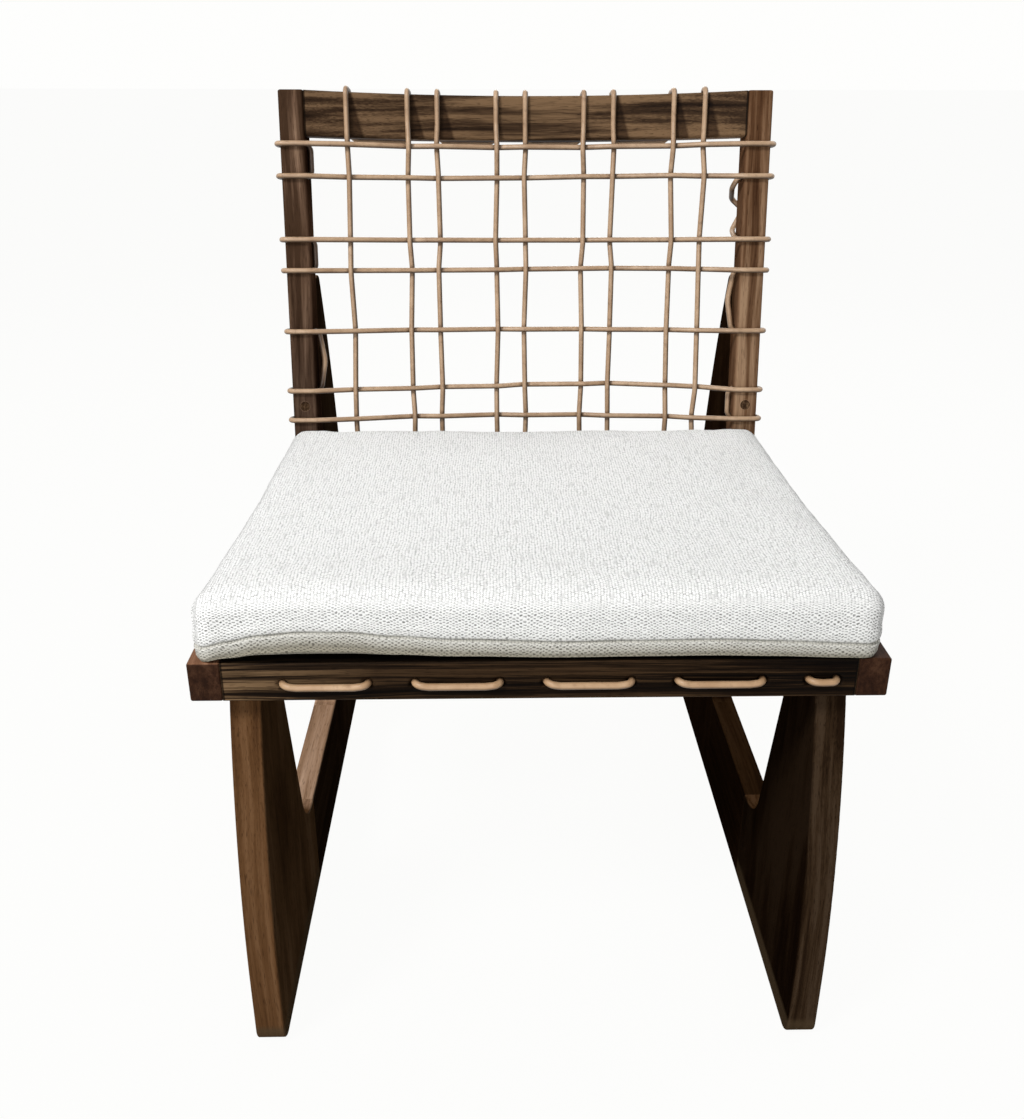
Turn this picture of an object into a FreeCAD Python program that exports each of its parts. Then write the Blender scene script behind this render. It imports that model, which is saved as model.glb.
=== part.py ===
import FreeCAD, Part
import math
import os
import Sketcher
from FreeCAD import Placement, Rotation, Vector

# Laced wooden chair: X runs to the right as one faces the chair, Y to its back, Z up.
# The origin is on the floor, under the middle of the chair.

doc = FreeCAD.newDocument("laced_chair")

# Driving sizes, in millimetres and degrees
SIZES = [
    ("seat_width", 600, "over the outer faces of the side rails"),
    ("seat_top", 410, "top of the seat rails above the floor"),
    ("rail_thickness", 28, "side rail, across"),
    ("rail_height", 37, "all four seat rails"),
    ("side_rail_tail", 165, "side rail behind the front of the stile"),
    ("front_rail_thickness", 22, "front rail, front to back"),
    ("rear_rail_thickness", 22, "rear rail, front to back"),
    ("rear_rail_gap", 9, "rear rail to the stile, at the seat's top"),
    ("frame_thickness", 28, "legs, runners and stiles, across"),
    ("frame_depth", 664, "side frame on the floor, toe to heel"),
    ("toe_overhang", 27, "toe ahead of the front rail"),
    ("toe_radius", 17, "rounded toe"),
    ("toe_straight", 70, "height where the bowed front edge starts"),
    ("runner_height", 113, "floor to the top of the runner"),
    ("front_leg_top_width", 63, "front leg at the seat"),
    ("front_leg_root_width", 193, "front leg at the runner's top"),
    ("front_leg_board_width", 240, "toe to the joint with the runner"),
    ("front_crotch_radius", 52, "rounded inside corner, leg to runner"),
    ("heel_radius", 17, "rounded heel"),
    ("heel_straight", 145, "height where the bowed rear edge starts"),
    ("rear_leg_top", 640, "top of the rear leg above the floor"),
    ("rear_leg_top_width", 27, "rear leg behind the stile, at its top"),
    ("rear_leg_top_round", 12, "rounded top of the rear leg"),
    ("rear_leg_root_width", 167, "rear leg at the runner's top"),
    ("rear_leg_board_width", 225, "joint with the runner to the heel"),
    ("rear_crotch_radius", 42, "rounded inside corner, runner to rear leg"),
    ("stile_setback", 425, "front of the seat to the stile, at the seat's top"),
    ("stile_depth", 33, "stile, front to back"),
    ("stile_lean", 9.64, "lean of the back from upright"),
    ("back_length", 439, "stile above the seat's top"),
    ("back_hollow", 45, "how far the middle of the back curves in"),
    ("top_rail_height", 48, "top rail of the back"),
    ("top_rail_thickness", 24, "top rail, front to back"),
    ("low_rail_height", 34, "lower rail of the back"),
    ("low_rail_thickness", 24, "lower rail, front to back"),
    ("low_rail_lift", 2, "lower rail above the seat's top"),
    ("back_round", 4, "rounded edges of the stiles and the back's rails"),
    ("edge_ease", 2, "eased edges of the legs and the seat rails"),
    ("rim_round", 4, "rounded mouths of the lacing holes"),
    ("tail_rim_round", 3, "rounded mouths of the two holes in the back's rails"),
    ("cord_diameter", 6, "leather cord of the back"),
    ("seat_cord_diameter", 6.5, "leather cord of the seat"),
    ("cord_clearance", 0.4, "cord to wood and cord to cord"),
    ("row_drop", 8, "top rail to the first row"),
    ("row_foot", 42, "last row to the lower rail"),
    ("column_margin", 45, "first and last column to the stiles"),
    ("crossing_flat", 3.5, "half of the straight stretch at a crossing"),
    ("crossing_bend", 18, "bend of a cord beside a crossing"),
    ("link_bend", 10, "bend of a cord behind a back rail"),
    ("link_bow", 6, "slack of the long links beside the stiles"),
    ("link_hook", 11, "fall of the link that passes behind its stile to its bow"),
    ("link_hidden", 12, "how far that link lies behind its stile"),
    ("rail_approach", 8, "a column leaves a back rail this far from its edge"),
    ("column_waver", 1.2, "unevenness of the hand-laced columns"),
    ("seat_lacing_drop", 2, "seat lacing below the middle of the rails"),
    ("seat_lacing_margin", 46.5, "first and last seat cord to the side rails"),
    ("seat_lacing_shift", 5, "seat lacing to the right of the middle"),
    ("seat_stitch", 73, "long stitch on the front rail"),
    ("seat_tail_stitch", 24, "short last stitch"),
    ("stitch_slack", 1.6, "how far a stitch hangs below its holes"),
    ("stitch_fall", 12, "length over which it comes down"),
    ("tail_length", 14, "cord end tucked into its hole"),
    ("seat_dowel_diameter", 8, "dowels of the seat frame"),
    ("seat_dowel_length", 40, "dowels of the seat frame"),
    ("seat_dowel_spacing", 22, "dowels of the seat frame"),
    ("runner_dowel_diameter", 12, "dowels of the side frames"),
    ("runner_dowel_length", 70, "dowels of the side frames"),
    ("runner_dowel_spacing", 50, "dowels of the side frames"),
    ("back_dowel_diameter", 8, "dowels of the back"),
    ("back_dowel_length", 40, "dowels of the back"),
    ("back_dowel_inset", 14, "front of the stile to the dowels"),
    ("top_dowel_spacing", 24, "dowels of the top rail"),
    ("low_dowel_spacing", 17, "dowels of the lower rail"),
    ("dowel_clearance", 0.1, "hole over dowel, plug or screw"),
    ("screw_diameter", 5, "wood screws"),
    ("screw_head_diameter", 10, "wood screws"),
    ("screw_head_height", 4, "wood screws"),
    ("leg_screw_length", 46, "leg to side rail"),
    ("front_screw_inset", 20, "front rail to the first screw"),
    ("front_screw_spacing", 28, "two screws in the front leg"),
    ("rear_screw_inset", 26, "stile to the first screw in the rear leg"),
    ("rear_screw_spacing", 62, "two screws in the rear leg"),
    ("stile_screw_rise", 94, "screw above the seat's top, along the stile"),
    ("stile_screw_length", 58, "stile to rear leg"),
    ("plug_diameter", 11, "wood plug over the stile's screw"),
    ("plug_length", 8, "wood plug over the stile's screw"),
    ("cushion_inset", 6, "cushion inside the outer face of the side rail"),
    ("cushion_taper", 20, "cushion narrower at the back, on each side"),
    ("cushion_overhang", 4, "cushion ahead of the front rail"),
    ("cushion_side", 56, "height of the cushion at its edge"),
    ("cushion_crown", 6, "rise of the cushion's middle"),
    ("cushion_rear_rise", 13, "cushion higher at its back than at its front"),
    ("cushion_edge", 12, "roundness of the cushion's edges"),
    ("cushion_corner", 24, "corner radius seen from above"),
    ("cushion_draw", 5, "how far the sides pull in between corners"),
    ("cushion_clearance", 0.6, "cushion to rails and stiles"),
    ("cover_thickness", 2, "woven cover"),
    ("foam_clearance", 0.4, "foam to cover"),
]

# Spacing patterns of the back's cord, in units of the pitch, and how far each row is pushed up by hand
ROW_UNITS = [0, 1, 3, 4, 6, 8, 9]
ROW_PUSHES = [0, 2.4, 0, 2.2, 0, 4.2, 0]
COLUMN_UNITS = [-6, -4, -3, -1, 0, 2, 3, 5, 6]

sheet = doc.addObject("Spreadsheet::Sheet", "dim")
for line, (alias, value, note) in enumerate(SIZES, start=1):
    sheet.set(f"A{line}", note)
    sheet.set(f"B{line}", str(value))
    sheet.setAlias(f"B{line}", alias)
doc.recompute()

# Places that several pieces share, as expressions of the sheet's sizes
TOE = "(-dim.frame_depth / 2)"
SEAT_FRONT = "(dim.toe_overhang - dim.frame_depth / 2)"
RAIL_IN = "(dim.seat_width / 2 - dim.rail_thickness)"
FRAME_IN = "(dim.seat_width / 2 - dim.rail_thickness - dim.frame_thickness)"
FRAME_MID = "(dim.seat_width / 2 - dim.rail_thickness - dim.frame_thickness / 2)"
RAIL_BOTTOM = "(dim.seat_top - dim.rail_height)"
RAIL_MID = "(dim.seat_top - dim.rail_height / 2)"
STILE_FRONT = "(dim.toe_overhang - dim.frame_depth / 2 + dim.stile_setback)"
REAR_RAIL_FRONT = f"({STILE_FRONT} - dim.rear_rail_gap - dim.rear_rail_thickness)"
SEAT_LACING = f"({RAIL_MID} - dim.seat_lacing_drop)"
TOP_RAIL_BOTTOM = "(dim.back_length - dim.top_rail_height)"
LOW_RAIL_TOP = "(dim.low_rail_lift + dim.low_rail_height)"
ROW_PITCH = f"(({TOP_RAIL_BOTTOM} - dim.row_drop - dim.row_foot - {LOW_RAIL_TOP}) / {ROW_UNITS[-1]})"
COLUMN_PITCH = f"(({FRAME_IN} - dim.column_margin) / {COLUMN_UNITS[-1]})"
SEAT_SPAN = f"(2 * ({RAIL_IN} - dim.seat_lacing_margin))"
HOLE_RADIUS = "(dim.cord_diameter / 2 + dim.cord_clearance)"
SEAT_HOLE_RADIUS = "(dim.seat_cord_diameter / 2 + dim.cord_clearance)"

SIDES = {"left": -1, "right": 1}
TURN_FROM_Z = {
    "+X": Rotation(Vector(0, 1, 0), 90),
    "-X": Rotation(Vector(0, 1, 0), -90),
    "+Y": Rotation(Vector(1, 0, 0), -90),
    "+Z": Rotation(),
}


def number(expression):
    """Value of an expression of the sheet's sizes."""
    return float(sheet.evalExpression(expression))


def size(alias):
    """Value of one driving size."""
    return float(sheet.get(alias))


def signed(side, expression):
    """Expression for a place across the chair, on the given side."""
    return f"({SIDES[side]} * {expression})"


def bind_base(thing, place):
    """Ties an object's position to three expressions."""
    for axis, expression in zip("xyz", place):
        thing.setExpression(f"Placement.Base.{axis}", expression)


def box(name, place, length, width, height):
    """Block with its lowest corner at place."""
    block = doc.addObject("Part::Box", name)
    block.setExpression("Length", length)
    block.setExpression("Width", width)
    block.setExpression("Height", height)
    bind_base(block, place)
    return block


def rod(name, place, axis, radius, length):
    """Cylinder from place along an axis."""
    cylinder = doc.addObject("Part::Cylinder", name)
    cylinder.Placement = Placement(Vector(), TURN_FROM_Z[axis])
    cylinder.setExpression("Radius", radius)
    cylinder.setExpression("Height", length)
    bind_base(cylinder, place)
    return cylinder


def group(name, members):
    """Separate solids kept together."""
    compound = doc.addObject("Part::Compound", name)
    compound.Links = members
    return compound


def bored(name, base, tools):
    """Base with its holes cut."""
    cut = doc.addObject("Part::Cut", name)
    cut.Base = base
    cut.Tool = group(name + "_tools", tools)
    return cut


def rounded(name, base, picks):
    """Base with rounded edges; picks pairs a test for an edge with a radius."""
    doc.recompute()
    fillet = doc.addObject("Part::Fillet", name)
    fillet.Base = base
    chosen = []
    for index, edge in enumerate(base.Shape.Edges, start=1):
        for wanted, radius in picks:
            if wanted(edge):
                chosen.append((index, radius, radius))
                break
    fillet.Edges = chosen
    fillet.Label = name
    return fillet


def runs_along(edge, axis):
    """True for a straight edge along one of the axes X, Y, Z."""
    if edge.Curve.TypeId != "Part::GeomLine":
        return False
    direction = edge.tangentAt(edge.FirstParameter)
    return abs(getattr(direction, axis)) > 0.999


def is_rim(edge, axis, at):
    """True for a hole's circular edge in the plane where axis equals at."""
    if edge.Curve.TypeId != "Part::GeomCircle" or not edge.isClosed():
        return False
    centre = edge.Curve.Center
    return abs(getattr(centre, axis) - at) < 0.01


def lies_at(edge, axis, at):
    """True for an edge wholly in the plane where axis equals at."""
    low = getattr(edge.BoundBox, axis.upper() + "Min")
    high = getattr(edge.BoundBox, axis.upper() + "Max")
    return abs(low - at) < 0.01 and abs(high - at) < 0.01


def outline(body, role, corners, arcs):
    """Closed sketch through corners; arcs gives an edge's radius, negative where it runs clockwise."""
    sketch = body.newObject("Sketcher::SketchObject", body.Name + "_outline")
    plane = [feature for feature in body.Origin.OriginFeatures if feature.Role == role][0]
    sketch.AttachmentSupport = [(plane, "")]
    sketch.MapMode = "FlatFace"
    points = [Vector(number(across), number(up), 0) for across, up in corners]
    count = len(points)
    start_of = [1] * count
    end_of = [2] * count
    for index, begin in enumerate(points):
        end = points[(index + 1) % count]
        if index not in arcs:
            sketch.addGeometry(Part.LineSegment(begin, end), False)
            continue
        radius_expression, turn = arcs[index]
        radius = number(radius_expression)
        chord = end - begin
        normal = Vector(-chord.y, chord.x, 0).normalize() * turn
        centre = (begin + end) / 2 + normal * math.sqrt(radius ** 2 - (chord.Length / 2) ** 2)
        first, last = (begin, end) if turn > 0 else (end, begin)
        angles = [math.atan2(point.y - centre.y, point.x - centre.x) for point in (first, last)]
        circle = Part.Circle(centre, Vector(0, 0, 1), radius)
        sketch.addGeometry(Part.ArcOfCircle(circle, angles[0], angles[1]), False)
        if turn < 0:
            start_of[index], end_of[index] = 2, 1
    for index in range(count):
        after = (index + 1) % count
        sketch.addConstraint(Sketcher.Constraint("Coincident", index, end_of[index], after, start_of[after]))
    for index, (across, up) in enumerate(corners):
        for kind, expression in (("DistanceX", across), ("DistanceY", up)):
            rule = Sketcher.Constraint(kind, -1, 1, index, start_of[index], number(expression))
            sketch.setExpression(f"Constraints[{sketch.addConstraint(rule)}]", expression)
    for index, (radius_expression, _) in arcs.items():
        rule = Sketcher.Constraint("Radius", index, number(radius_expression))
        sketch.setExpression(f"Constraints[{sketch.addConstraint(rule)}]", radius_expression)
    return sketch


def board(name, role, corners, arcs, thickness, place):
    """Body padded from an outline."""
    body = doc.addObject("PartDesign::Body", name)
    sketch = outline(body, role, corners, arcs)
    pad = body.newObject("PartDesign::Pad", name + "_pad")
    pad.Profile = sketch
    pad.setExpression("Length", thickness)
    bind_base(body, place)
    doc.recompute()
    return body


def round_corner(body, name, radius, across, up):
    """Rounds the body's edge across the board at one corner of its outline."""
    pad = body.Tip
    place = Vector(0, number(across), number(up))
    for index, edge in enumerate(pad.Shape.Edges, start=1):
        middle = edge.BoundBox.Center
        if runs_along(edge, "x") and math.hypot(middle.y - place.y, middle.z - place.z) < 0.01:
            fillet = body.newObject("PartDesign::Fillet", name)
            fillet.Base = (pad, [f"Edge{index}"])
            fillet.setExpression("Radius", radius)
    doc.recompute()


def tangent_radius(rise_away, rise_along):
    """Expression for the arc that leaves a line smoothly and ends so far away and along."""
    return f"((({rise_away}) ^ 2 + ({rise_along}) ^ 2) / (2 * ({rise_away})))"


# Shared placement of everything that leans with the back
back_place = Placement(
    Vector(0, number(STILE_FRONT), size("seat_top")),
    Rotation(Vector(-1, 0, 0), size("stile_lean")),
)


def lean_with_back(thing):
    """Puts a piece that is made upright at the seat's top into the leaning back."""
    thing.Placement = back_place
    bind_base(thing, ("0", STILE_FRONT, "dim.seat_top"))
    thing.setExpression("Placement.Rotation.Angle", "dim.stile_lean")
    return thing


# Dowels and the holes that they sit in
def dowel_pair(name, centre, axis, diameter, length, holes):
    """A dowel about a joint's face and its hole, with the hole added to the list of tools."""
    wide = f"({diameter} / 2 + dim.dowel_clearance)"
    long = f"({length} + 2 * dim.dowel_clearance)"
    shift = {"+X": 0, "+Y": 1}[axis]
    dowel_start = list(centre)
    hole_start = list(centre)
    dowel_start[shift] = f"({centre[shift]} - {length} / 2)"
    hole_start[shift] = f"({centre[shift]} - {length} / 2 - dim.dowel_clearance)"
    holes.append(rod(name + "_hole", hole_start, axis, wide, long))
    return rod(name, dowel_start, axis, f"({diameter} / 2)", length)


seat_holes = {"left": [], "right": []}
front_rail_holes = []
rear_rail_holes = []
seat_dowels = []
for side in SIDES:
    for rail, rail_holes, middle in (
        ("front", front_rail_holes, f"({SEAT_FRONT} + dim.front_rail_thickness / 2)"),
        ("rear", rear_rail_holes, f"({REAR_RAIL_FRONT} + dim.rear_rail_thickness / 2)"),
    ):
        for level, sign in (("low", -1), ("high", 1)):
            height = f"({RAIL_MID} + {sign} * dim.seat_dowel_spacing / 2)"
            holes = []
            seat_dowels.append(dowel_pair(
                f"{rail}_dowel_{side}_{level}", (signed(side, RAIL_IN), middle, height), "+X",
                "dim.seat_dowel_diameter", "dim.seat_dowel_length", holes,
            ))
            rail_holes += holes
            seat_holes[side] += holes

FRONT_JOINT = f"({TOE} + dim.front_leg_board_width)"
REAR_JOINT = f"({TOE} + dim.frame_depth - dim.rear_leg_board_width)"
runner_dowels = []
front_joint_holes = {"left": [], "right": []}
rear_joint_holes = {"left": [], "right": []}
for side in SIDES:
    for joint, plane, joint_holes in (
        ("front", FRONT_JOINT, front_joint_holes),
        ("rear", REAR_JOINT, rear_joint_holes),
    ):
        for level, sign in (("low", -1), ("high", 1)):
            height = f"(dim.runner_height / 2 + {sign} * dim.runner_dowel_spacing / 2)"
            runner_dowels.append(dowel_pair(
                f"runner_{joint}_dowel_{side}_{level}", (signed(side, FRAME_MID), plane, height), "+Y",
                "dim.runner_dowel_diameter", "dim.runner_dowel_length", joint_holes[side],
            ))

TOP_RAIL_MID = f"({TOP_RAIL_BOTTOM} + dim.top_rail_height / 2)"
LOW_RAIL_MID = "(dim.low_rail_lift + dim.low_rail_height / 2)"
back_dowels = []
stile_holes = {"left": [], "right": []}
top_rail_holes = []
low_rail_holes = []
for side in SIDES:
    for rail, rail_holes, middle, spacing in (
        ("top", top_rail_holes, TOP_RAIL_MID, "dim.top_dowel_spacing"),
        ("low", low_rail_holes, LOW_RAIL_MID, "dim.low_dowel_spacing"),
    ):
        for level, sign in (("low", -1), ("high", 1)):
            height = f"({middle} + {sign} * {spacing} / 2)"
            holes = []
            back_dowels.append(dowel_pair(
                f"{rail}_rail_dowel_{side}_{level}",
                (signed(side, FRAME_IN), "dim.back_dowel_inset", height), "+X",
                "dim.back_dowel_diameter", "dim.back_dowel_length", holes,
            ))
            rail_holes += holes
            stile_holes[side] += holes


# Wood screws and the holes that they sit in
def screw(name, place, axis, length, extra):
    """Countersunk screw with its head's top at place; extra widens it into its hole."""
    head = doc.addObject("Part::Cone", name + "_head")
    head.Placement = Placement(Vector(), TURN_FROM_Z[axis])
    head.setExpression("Radius1", f"dim.screw_head_diameter / 2 + {extra}")
    head.setExpression("Radius2", f"dim.screw_diameter / 2 + {extra}")
    head.setExpression("Height", "dim.screw_head_height")
    bind_base(head, place)
    shank = rod(name + "_shank", place, axis, f"(dim.screw_diameter / 2 + {extra})", f"({length} + {extra})")
    whole = doc.addObject("Part::Fuse", name)
    whole.Base = head
    whole.Tool = shank
    return whole


STILE_AT_RAIL = f"({STILE_FRONT} - dim.rail_height / 2 * tan(dim.stile_lean))"
STILE_RUN = "(dim.stile_depth / cos(dim.stile_lean))"
FRONT_SCREW = f"({SEAT_FRONT} + dim.front_rail_thickness + dim.front_screw_inset)"
REAR_SCREW = f"({STILE_AT_RAIL} + {STILE_RUN} + dim.rear_screw_inset)"
SCREW_PLACES = {
    "front_leg_a": FRONT_SCREW,
    "front_leg_b": f"({FRONT_SCREW} + dim.front_screw_spacing)",
    "stile": f"({STILE_AT_RAIL} + {STILE_RUN} / 2)",
    "rear_leg_a": REAR_SCREW,
    "rear_leg_b": f"({REAR_SCREW} + dim.rear_screw_spacing)",
}
frame_screws = []
screw_holes = {}
for side, outward in (("left", "-X"), ("right", "+X")):
    for where, along in SCREW_PLACES.items():
        place = (signed(side, FRAME_IN), along, RAIL_MID)
        frame_screws.append(screw(f"screw_{where}_{side}", place, outward, "dim.leg_screw_length", "0"))
        screw_holes[side, where] = screw(
            f"screw_hole_{where}_{side}", place, outward, "dim.leg_screw_length", "dim.dowel_clearance"
        )
    seat_holes[side] += [screw_holes[side, where] for where in SCREW_PLACES]


def world_copy(name, local):
    """A tool of the leaning back, placed in the upright frame for pieces that stay upright."""
    doc.recompute()
    tool = doc.addObject("Part::Feature", name)
    tool.Shape = local.Shape.copy()
    tool.Placement = back_place
    return tool


def upright_copy(name, world):
    """A tool of the upright frame, placed in the leaning back's own frame."""
    doc.recompute()
    tool = doc.addObject("Part::Feature", name)
    tool.Shape = world.Shape.copy()
    tool.Placement = back_place.inverse()
    return tool


plugs = []
stile_screws = []
stile_screw_holes = {}
for side in SIDES:
    across = signed(side, FRAME_MID)
    plug_place = (across, "0", "dim.stile_screw_rise")
    plugs.append(rod(f"plug_{side}", plug_place, "+Y", "dim.plug_diameter / 2", "dim.plug_length"))
    plug_hole = rod(
        f"plug_hole_{side}", plug_place, "+Y",
        "dim.plug_diameter / 2 + dim.dowel_clearance", "dim.plug_length",
    )
    screw_place = (across, "dim.plug_length", "dim.stile_screw_rise")
    stile_screws.append(screw(f"stile_screw_{side}", screw_place, "+Y", "dim.stile_screw_length", "0"))
    stile_screw_holes[side] = screw(
        f"stile_screw_hole_{side}", screw_place, "+Y", "dim.stile_screw_length", "dim.dowel_clearance"
    )
    stile_holes[side] += [plug_hole, stile_screw_holes[side]]


# Places of the cords
rows = [number(f"{TOP_RAIL_BOTTOM} - dim.row_drop - {unit} * {ROW_PITCH}") for unit in ROW_UNITS]
columns = [unit * number(COLUMN_PITCH) for unit in COLUMN_UNITS]
ROW_BEFORE_HIDDEN_LINK = 1
LONG_STITCHES = ("left", "left middle", "right middle", "right")
seat_gap = number(SEAT_SPAN) / len(LONG_STITCHES) - size("seat_stitch")
seat_columns = [size("seat_lacing_shift") - number(SEAT_SPAN) / 2]
for stitch in LONG_STITCHES:
    seat_columns.append(seat_columns[-1] + size("seat_stitch"))
    seat_columns.append(seat_columns[-1] + seat_gap)
seat_tail = seat_columns[-1] + size("seat_tail_stitch")

# Lacing holes
for side in SIDES:
    for index, height in enumerate(rows, start=1):
        stile_holes[side].append(rod(
            f"row_hole_{side}_{index}",
            (f"({signed(side, FRAME_MID)} - dim.frame_thickness)", "dim.stile_depth / 2", str(height)),
            "+X", HOLE_RADIUS, "2 * dim.frame_thickness",
        ))
for index, across in enumerate(seat_columns + [seat_tail], start=1):
    front_rail_holes.append(rod(
        f"front_hole_{index}", (str(across), f"({SEAT_FRONT} - dim.front_rail_thickness)", SEAT_LACING),
        "+Y", SEAT_HOLE_RADIUS, "3 * dim.front_rail_thickness",
    ))
for index, across in enumerate(seat_columns, start=1):
    rear_rail_holes.append(rod(
        f"rear_hole_{index}", (str(across), f"({REAR_RAIL_FRONT} - dim.rear_rail_thickness)", SEAT_LACING),
        "+Y", SEAT_HOLE_RADIUS, "3 * dim.rear_rail_thickness",
    ))

HOLLOW_RADIUS = tangent_radius("dim.back_hollow", FRAME_IN)


def hollow(across):
    """How far the back's front surface curves in at a place across the chair."""
    radius = number(HOLLOW_RADIUS)
    return math.sqrt(radius ** 2 - across ** 2) - (radius - size("back_hollow"))


TAIL_DEPTH = size("tail_length")
low_rail_holes.append(rod(
    "column_start_hole",
    (str(columns[0]), f"({hollow(columns[0])} + dim.low_rail_thickness / 2)", "dim.low_rail_lift"),
    "+Z", HOLE_RADIUS, "dim.tail_length + dim.rim_round",
))
top_rail_holes.append(rod(
    "column_end_hole",
    (str(columns[-1]), f"({hollow(columns[-1])} + dim.top_rail_thickness / 2)",
     "(dim.back_length - dim.tail_length - dim.rim_round)"),
    "+Z", HOLE_RADIUS, "dim.tail_length + dim.rim_round",
))

parts = []
ease = size("edge_ease")
rim = size("rim_round")

# Seat rails
for side, sign in SIDES.items():
    outer = f"({sign} * (dim.seat_width / 2 - dim.rail_thickness / 2) - dim.rail_thickness / 2)"
    blank = box(
        f"side_rail_{side}_blank", (outer, SEAT_FRONT, RAIL_BOTTOM),
        "dim.rail_thickness", "dim.stile_setback + dim.side_rail_tail", "dim.rail_height",
    )
    drilled = bored(f"side_rail_{side}_bored", blank, seat_holes[side])
    parts.append(rounded(f"side_rail_{side}", drilled, [
        (lambda edge: edge.Curve.TypeId == "Part::GeomLine", ease),
    ]))

for rail, front, thickness, holes, rim_face in (
    ("front_rail", SEAT_FRONT, "dim.front_rail_thickness", front_rail_holes, SEAT_FRONT),
    ("rear_rail", REAR_RAIL_FRONT, "dim.rear_rail_thickness", rear_rail_holes,
     f"({REAR_RAIL_FRONT} + dim.rear_rail_thickness)"),
):
    blank = box(
        f"{rail}_blank", (f"(-{RAIL_IN})", front, RAIL_BOTTOM), f"2 * {RAIL_IN}", thickness, "dim.rail_height",
    )
    drilled = bored(f"{rail}_bored", blank, holes)
    parts.append(rounded(rail, drilled, [
        (lambda edge: runs_along(edge, "x"), ease),
        (lambda edge, face=number(rim_face): is_rim(edge, "y", face), rim),
    ]))

# Side frames: front leg, runner and rear leg in one layer inside each side rail
LEG_FRONT = "(dim.toe_overhang + dim.front_rail_thickness)"
FRONT_ARC = tangent_radius(LEG_FRONT, f"{RAIL_BOTTOM} - dim.toe_straight")
FRONT_LEG_OUTLINE = [
    ("dim.toe_radius", "0"),
    ("dim.front_leg_board_width", "0"),
    ("dim.front_leg_board_width", "dim.runner_height"),
    ("dim.front_leg_root_width", "dim.runner_height"),
    (f"{LEG_FRONT} + dim.front_leg_top_width", "dim.seat_top"),
    (LEG_FRONT, "dim.seat_top"),
    (LEG_FRONT, RAIL_BOTTOM),
    ("0", "dim.toe_straight"),
    ("0", "dim.toe_radius"),
]
STILE_FOOT = "(dim.toe_overhang + dim.stile_setback - dim.rail_height * tan(dim.stile_lean))"
REAR_TOP_FRONT = (
    f"(dim.toe_overhang + dim.stile_setback + {STILE_RUN}"
    " + (dim.rear_leg_top - dim.seat_top) * tan(dim.stile_lean))"
)
REAR_TOP_BACK = f"({REAR_TOP_FRONT} + dim.rear_leg_top_width)"
REAR_ARC = tangent_radius(f"dim.frame_depth - {REAR_TOP_BACK}", "dim.rear_leg_top - dim.heel_straight")
REAR_LEG_OUTLINE = [
    ("dim.frame_depth - dim.rear_leg_board_width", "0"),
    ("dim.frame_depth - dim.heel_radius", "0"),
    ("dim.frame_depth", "dim.heel_radius"),
    ("dim.frame_depth", "dim.heel_straight"),
    (REAR_TOP_BACK, "dim.rear_leg_top"),
    (REAR_TOP_FRONT, "dim.rear_leg_top"),
    (f"{STILE_FOOT} + dim.stile_depth * cos(dim.stile_lean)",
     f"{RAIL_BOTTOM} - dim.stile_depth * sin(dim.stile_lean)"),
    (STILE_FOOT, RAIL_BOTTOM),
    ("dim.frame_depth - dim.rear_leg_root_width", "dim.runner_height"),
    ("dim.frame_depth - dim.rear_leg_board_width", "dim.runner_height"),
]


def frame_left_face(side):
    """Expression for the lower X face of a side frame."""
    return f"({signed(side, FRAME_MID)} - dim.frame_thickness / 2)"


def free_outline(side, joint_plane):
    """Test for the outline edges of a side frame's board, apart from those at its joint."""
    left_face = number(frame_left_face(side))
    faces = (left_face, left_face + size("frame_thickness"))
    joint = number(joint_plane)

    def wanted(edge):
        if edge.isClosed() or lies_at(edge, "y", joint):
            return False
        return any(lies_at(edge, "x", face) for face in faces)

    return wanted


def crotch_radius(wanted, run, across, up):
    """Radius of the rounded corner between a runner's top and an edge that rises so far across and up."""
    half_tangent = f"((sqrt(({across}) ^ 2 + ({up}) ^ 2) + ({across})) / ({up}))"
    return f"min({wanted}; 0.96 * ({run}) * {half_tangent})"


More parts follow.
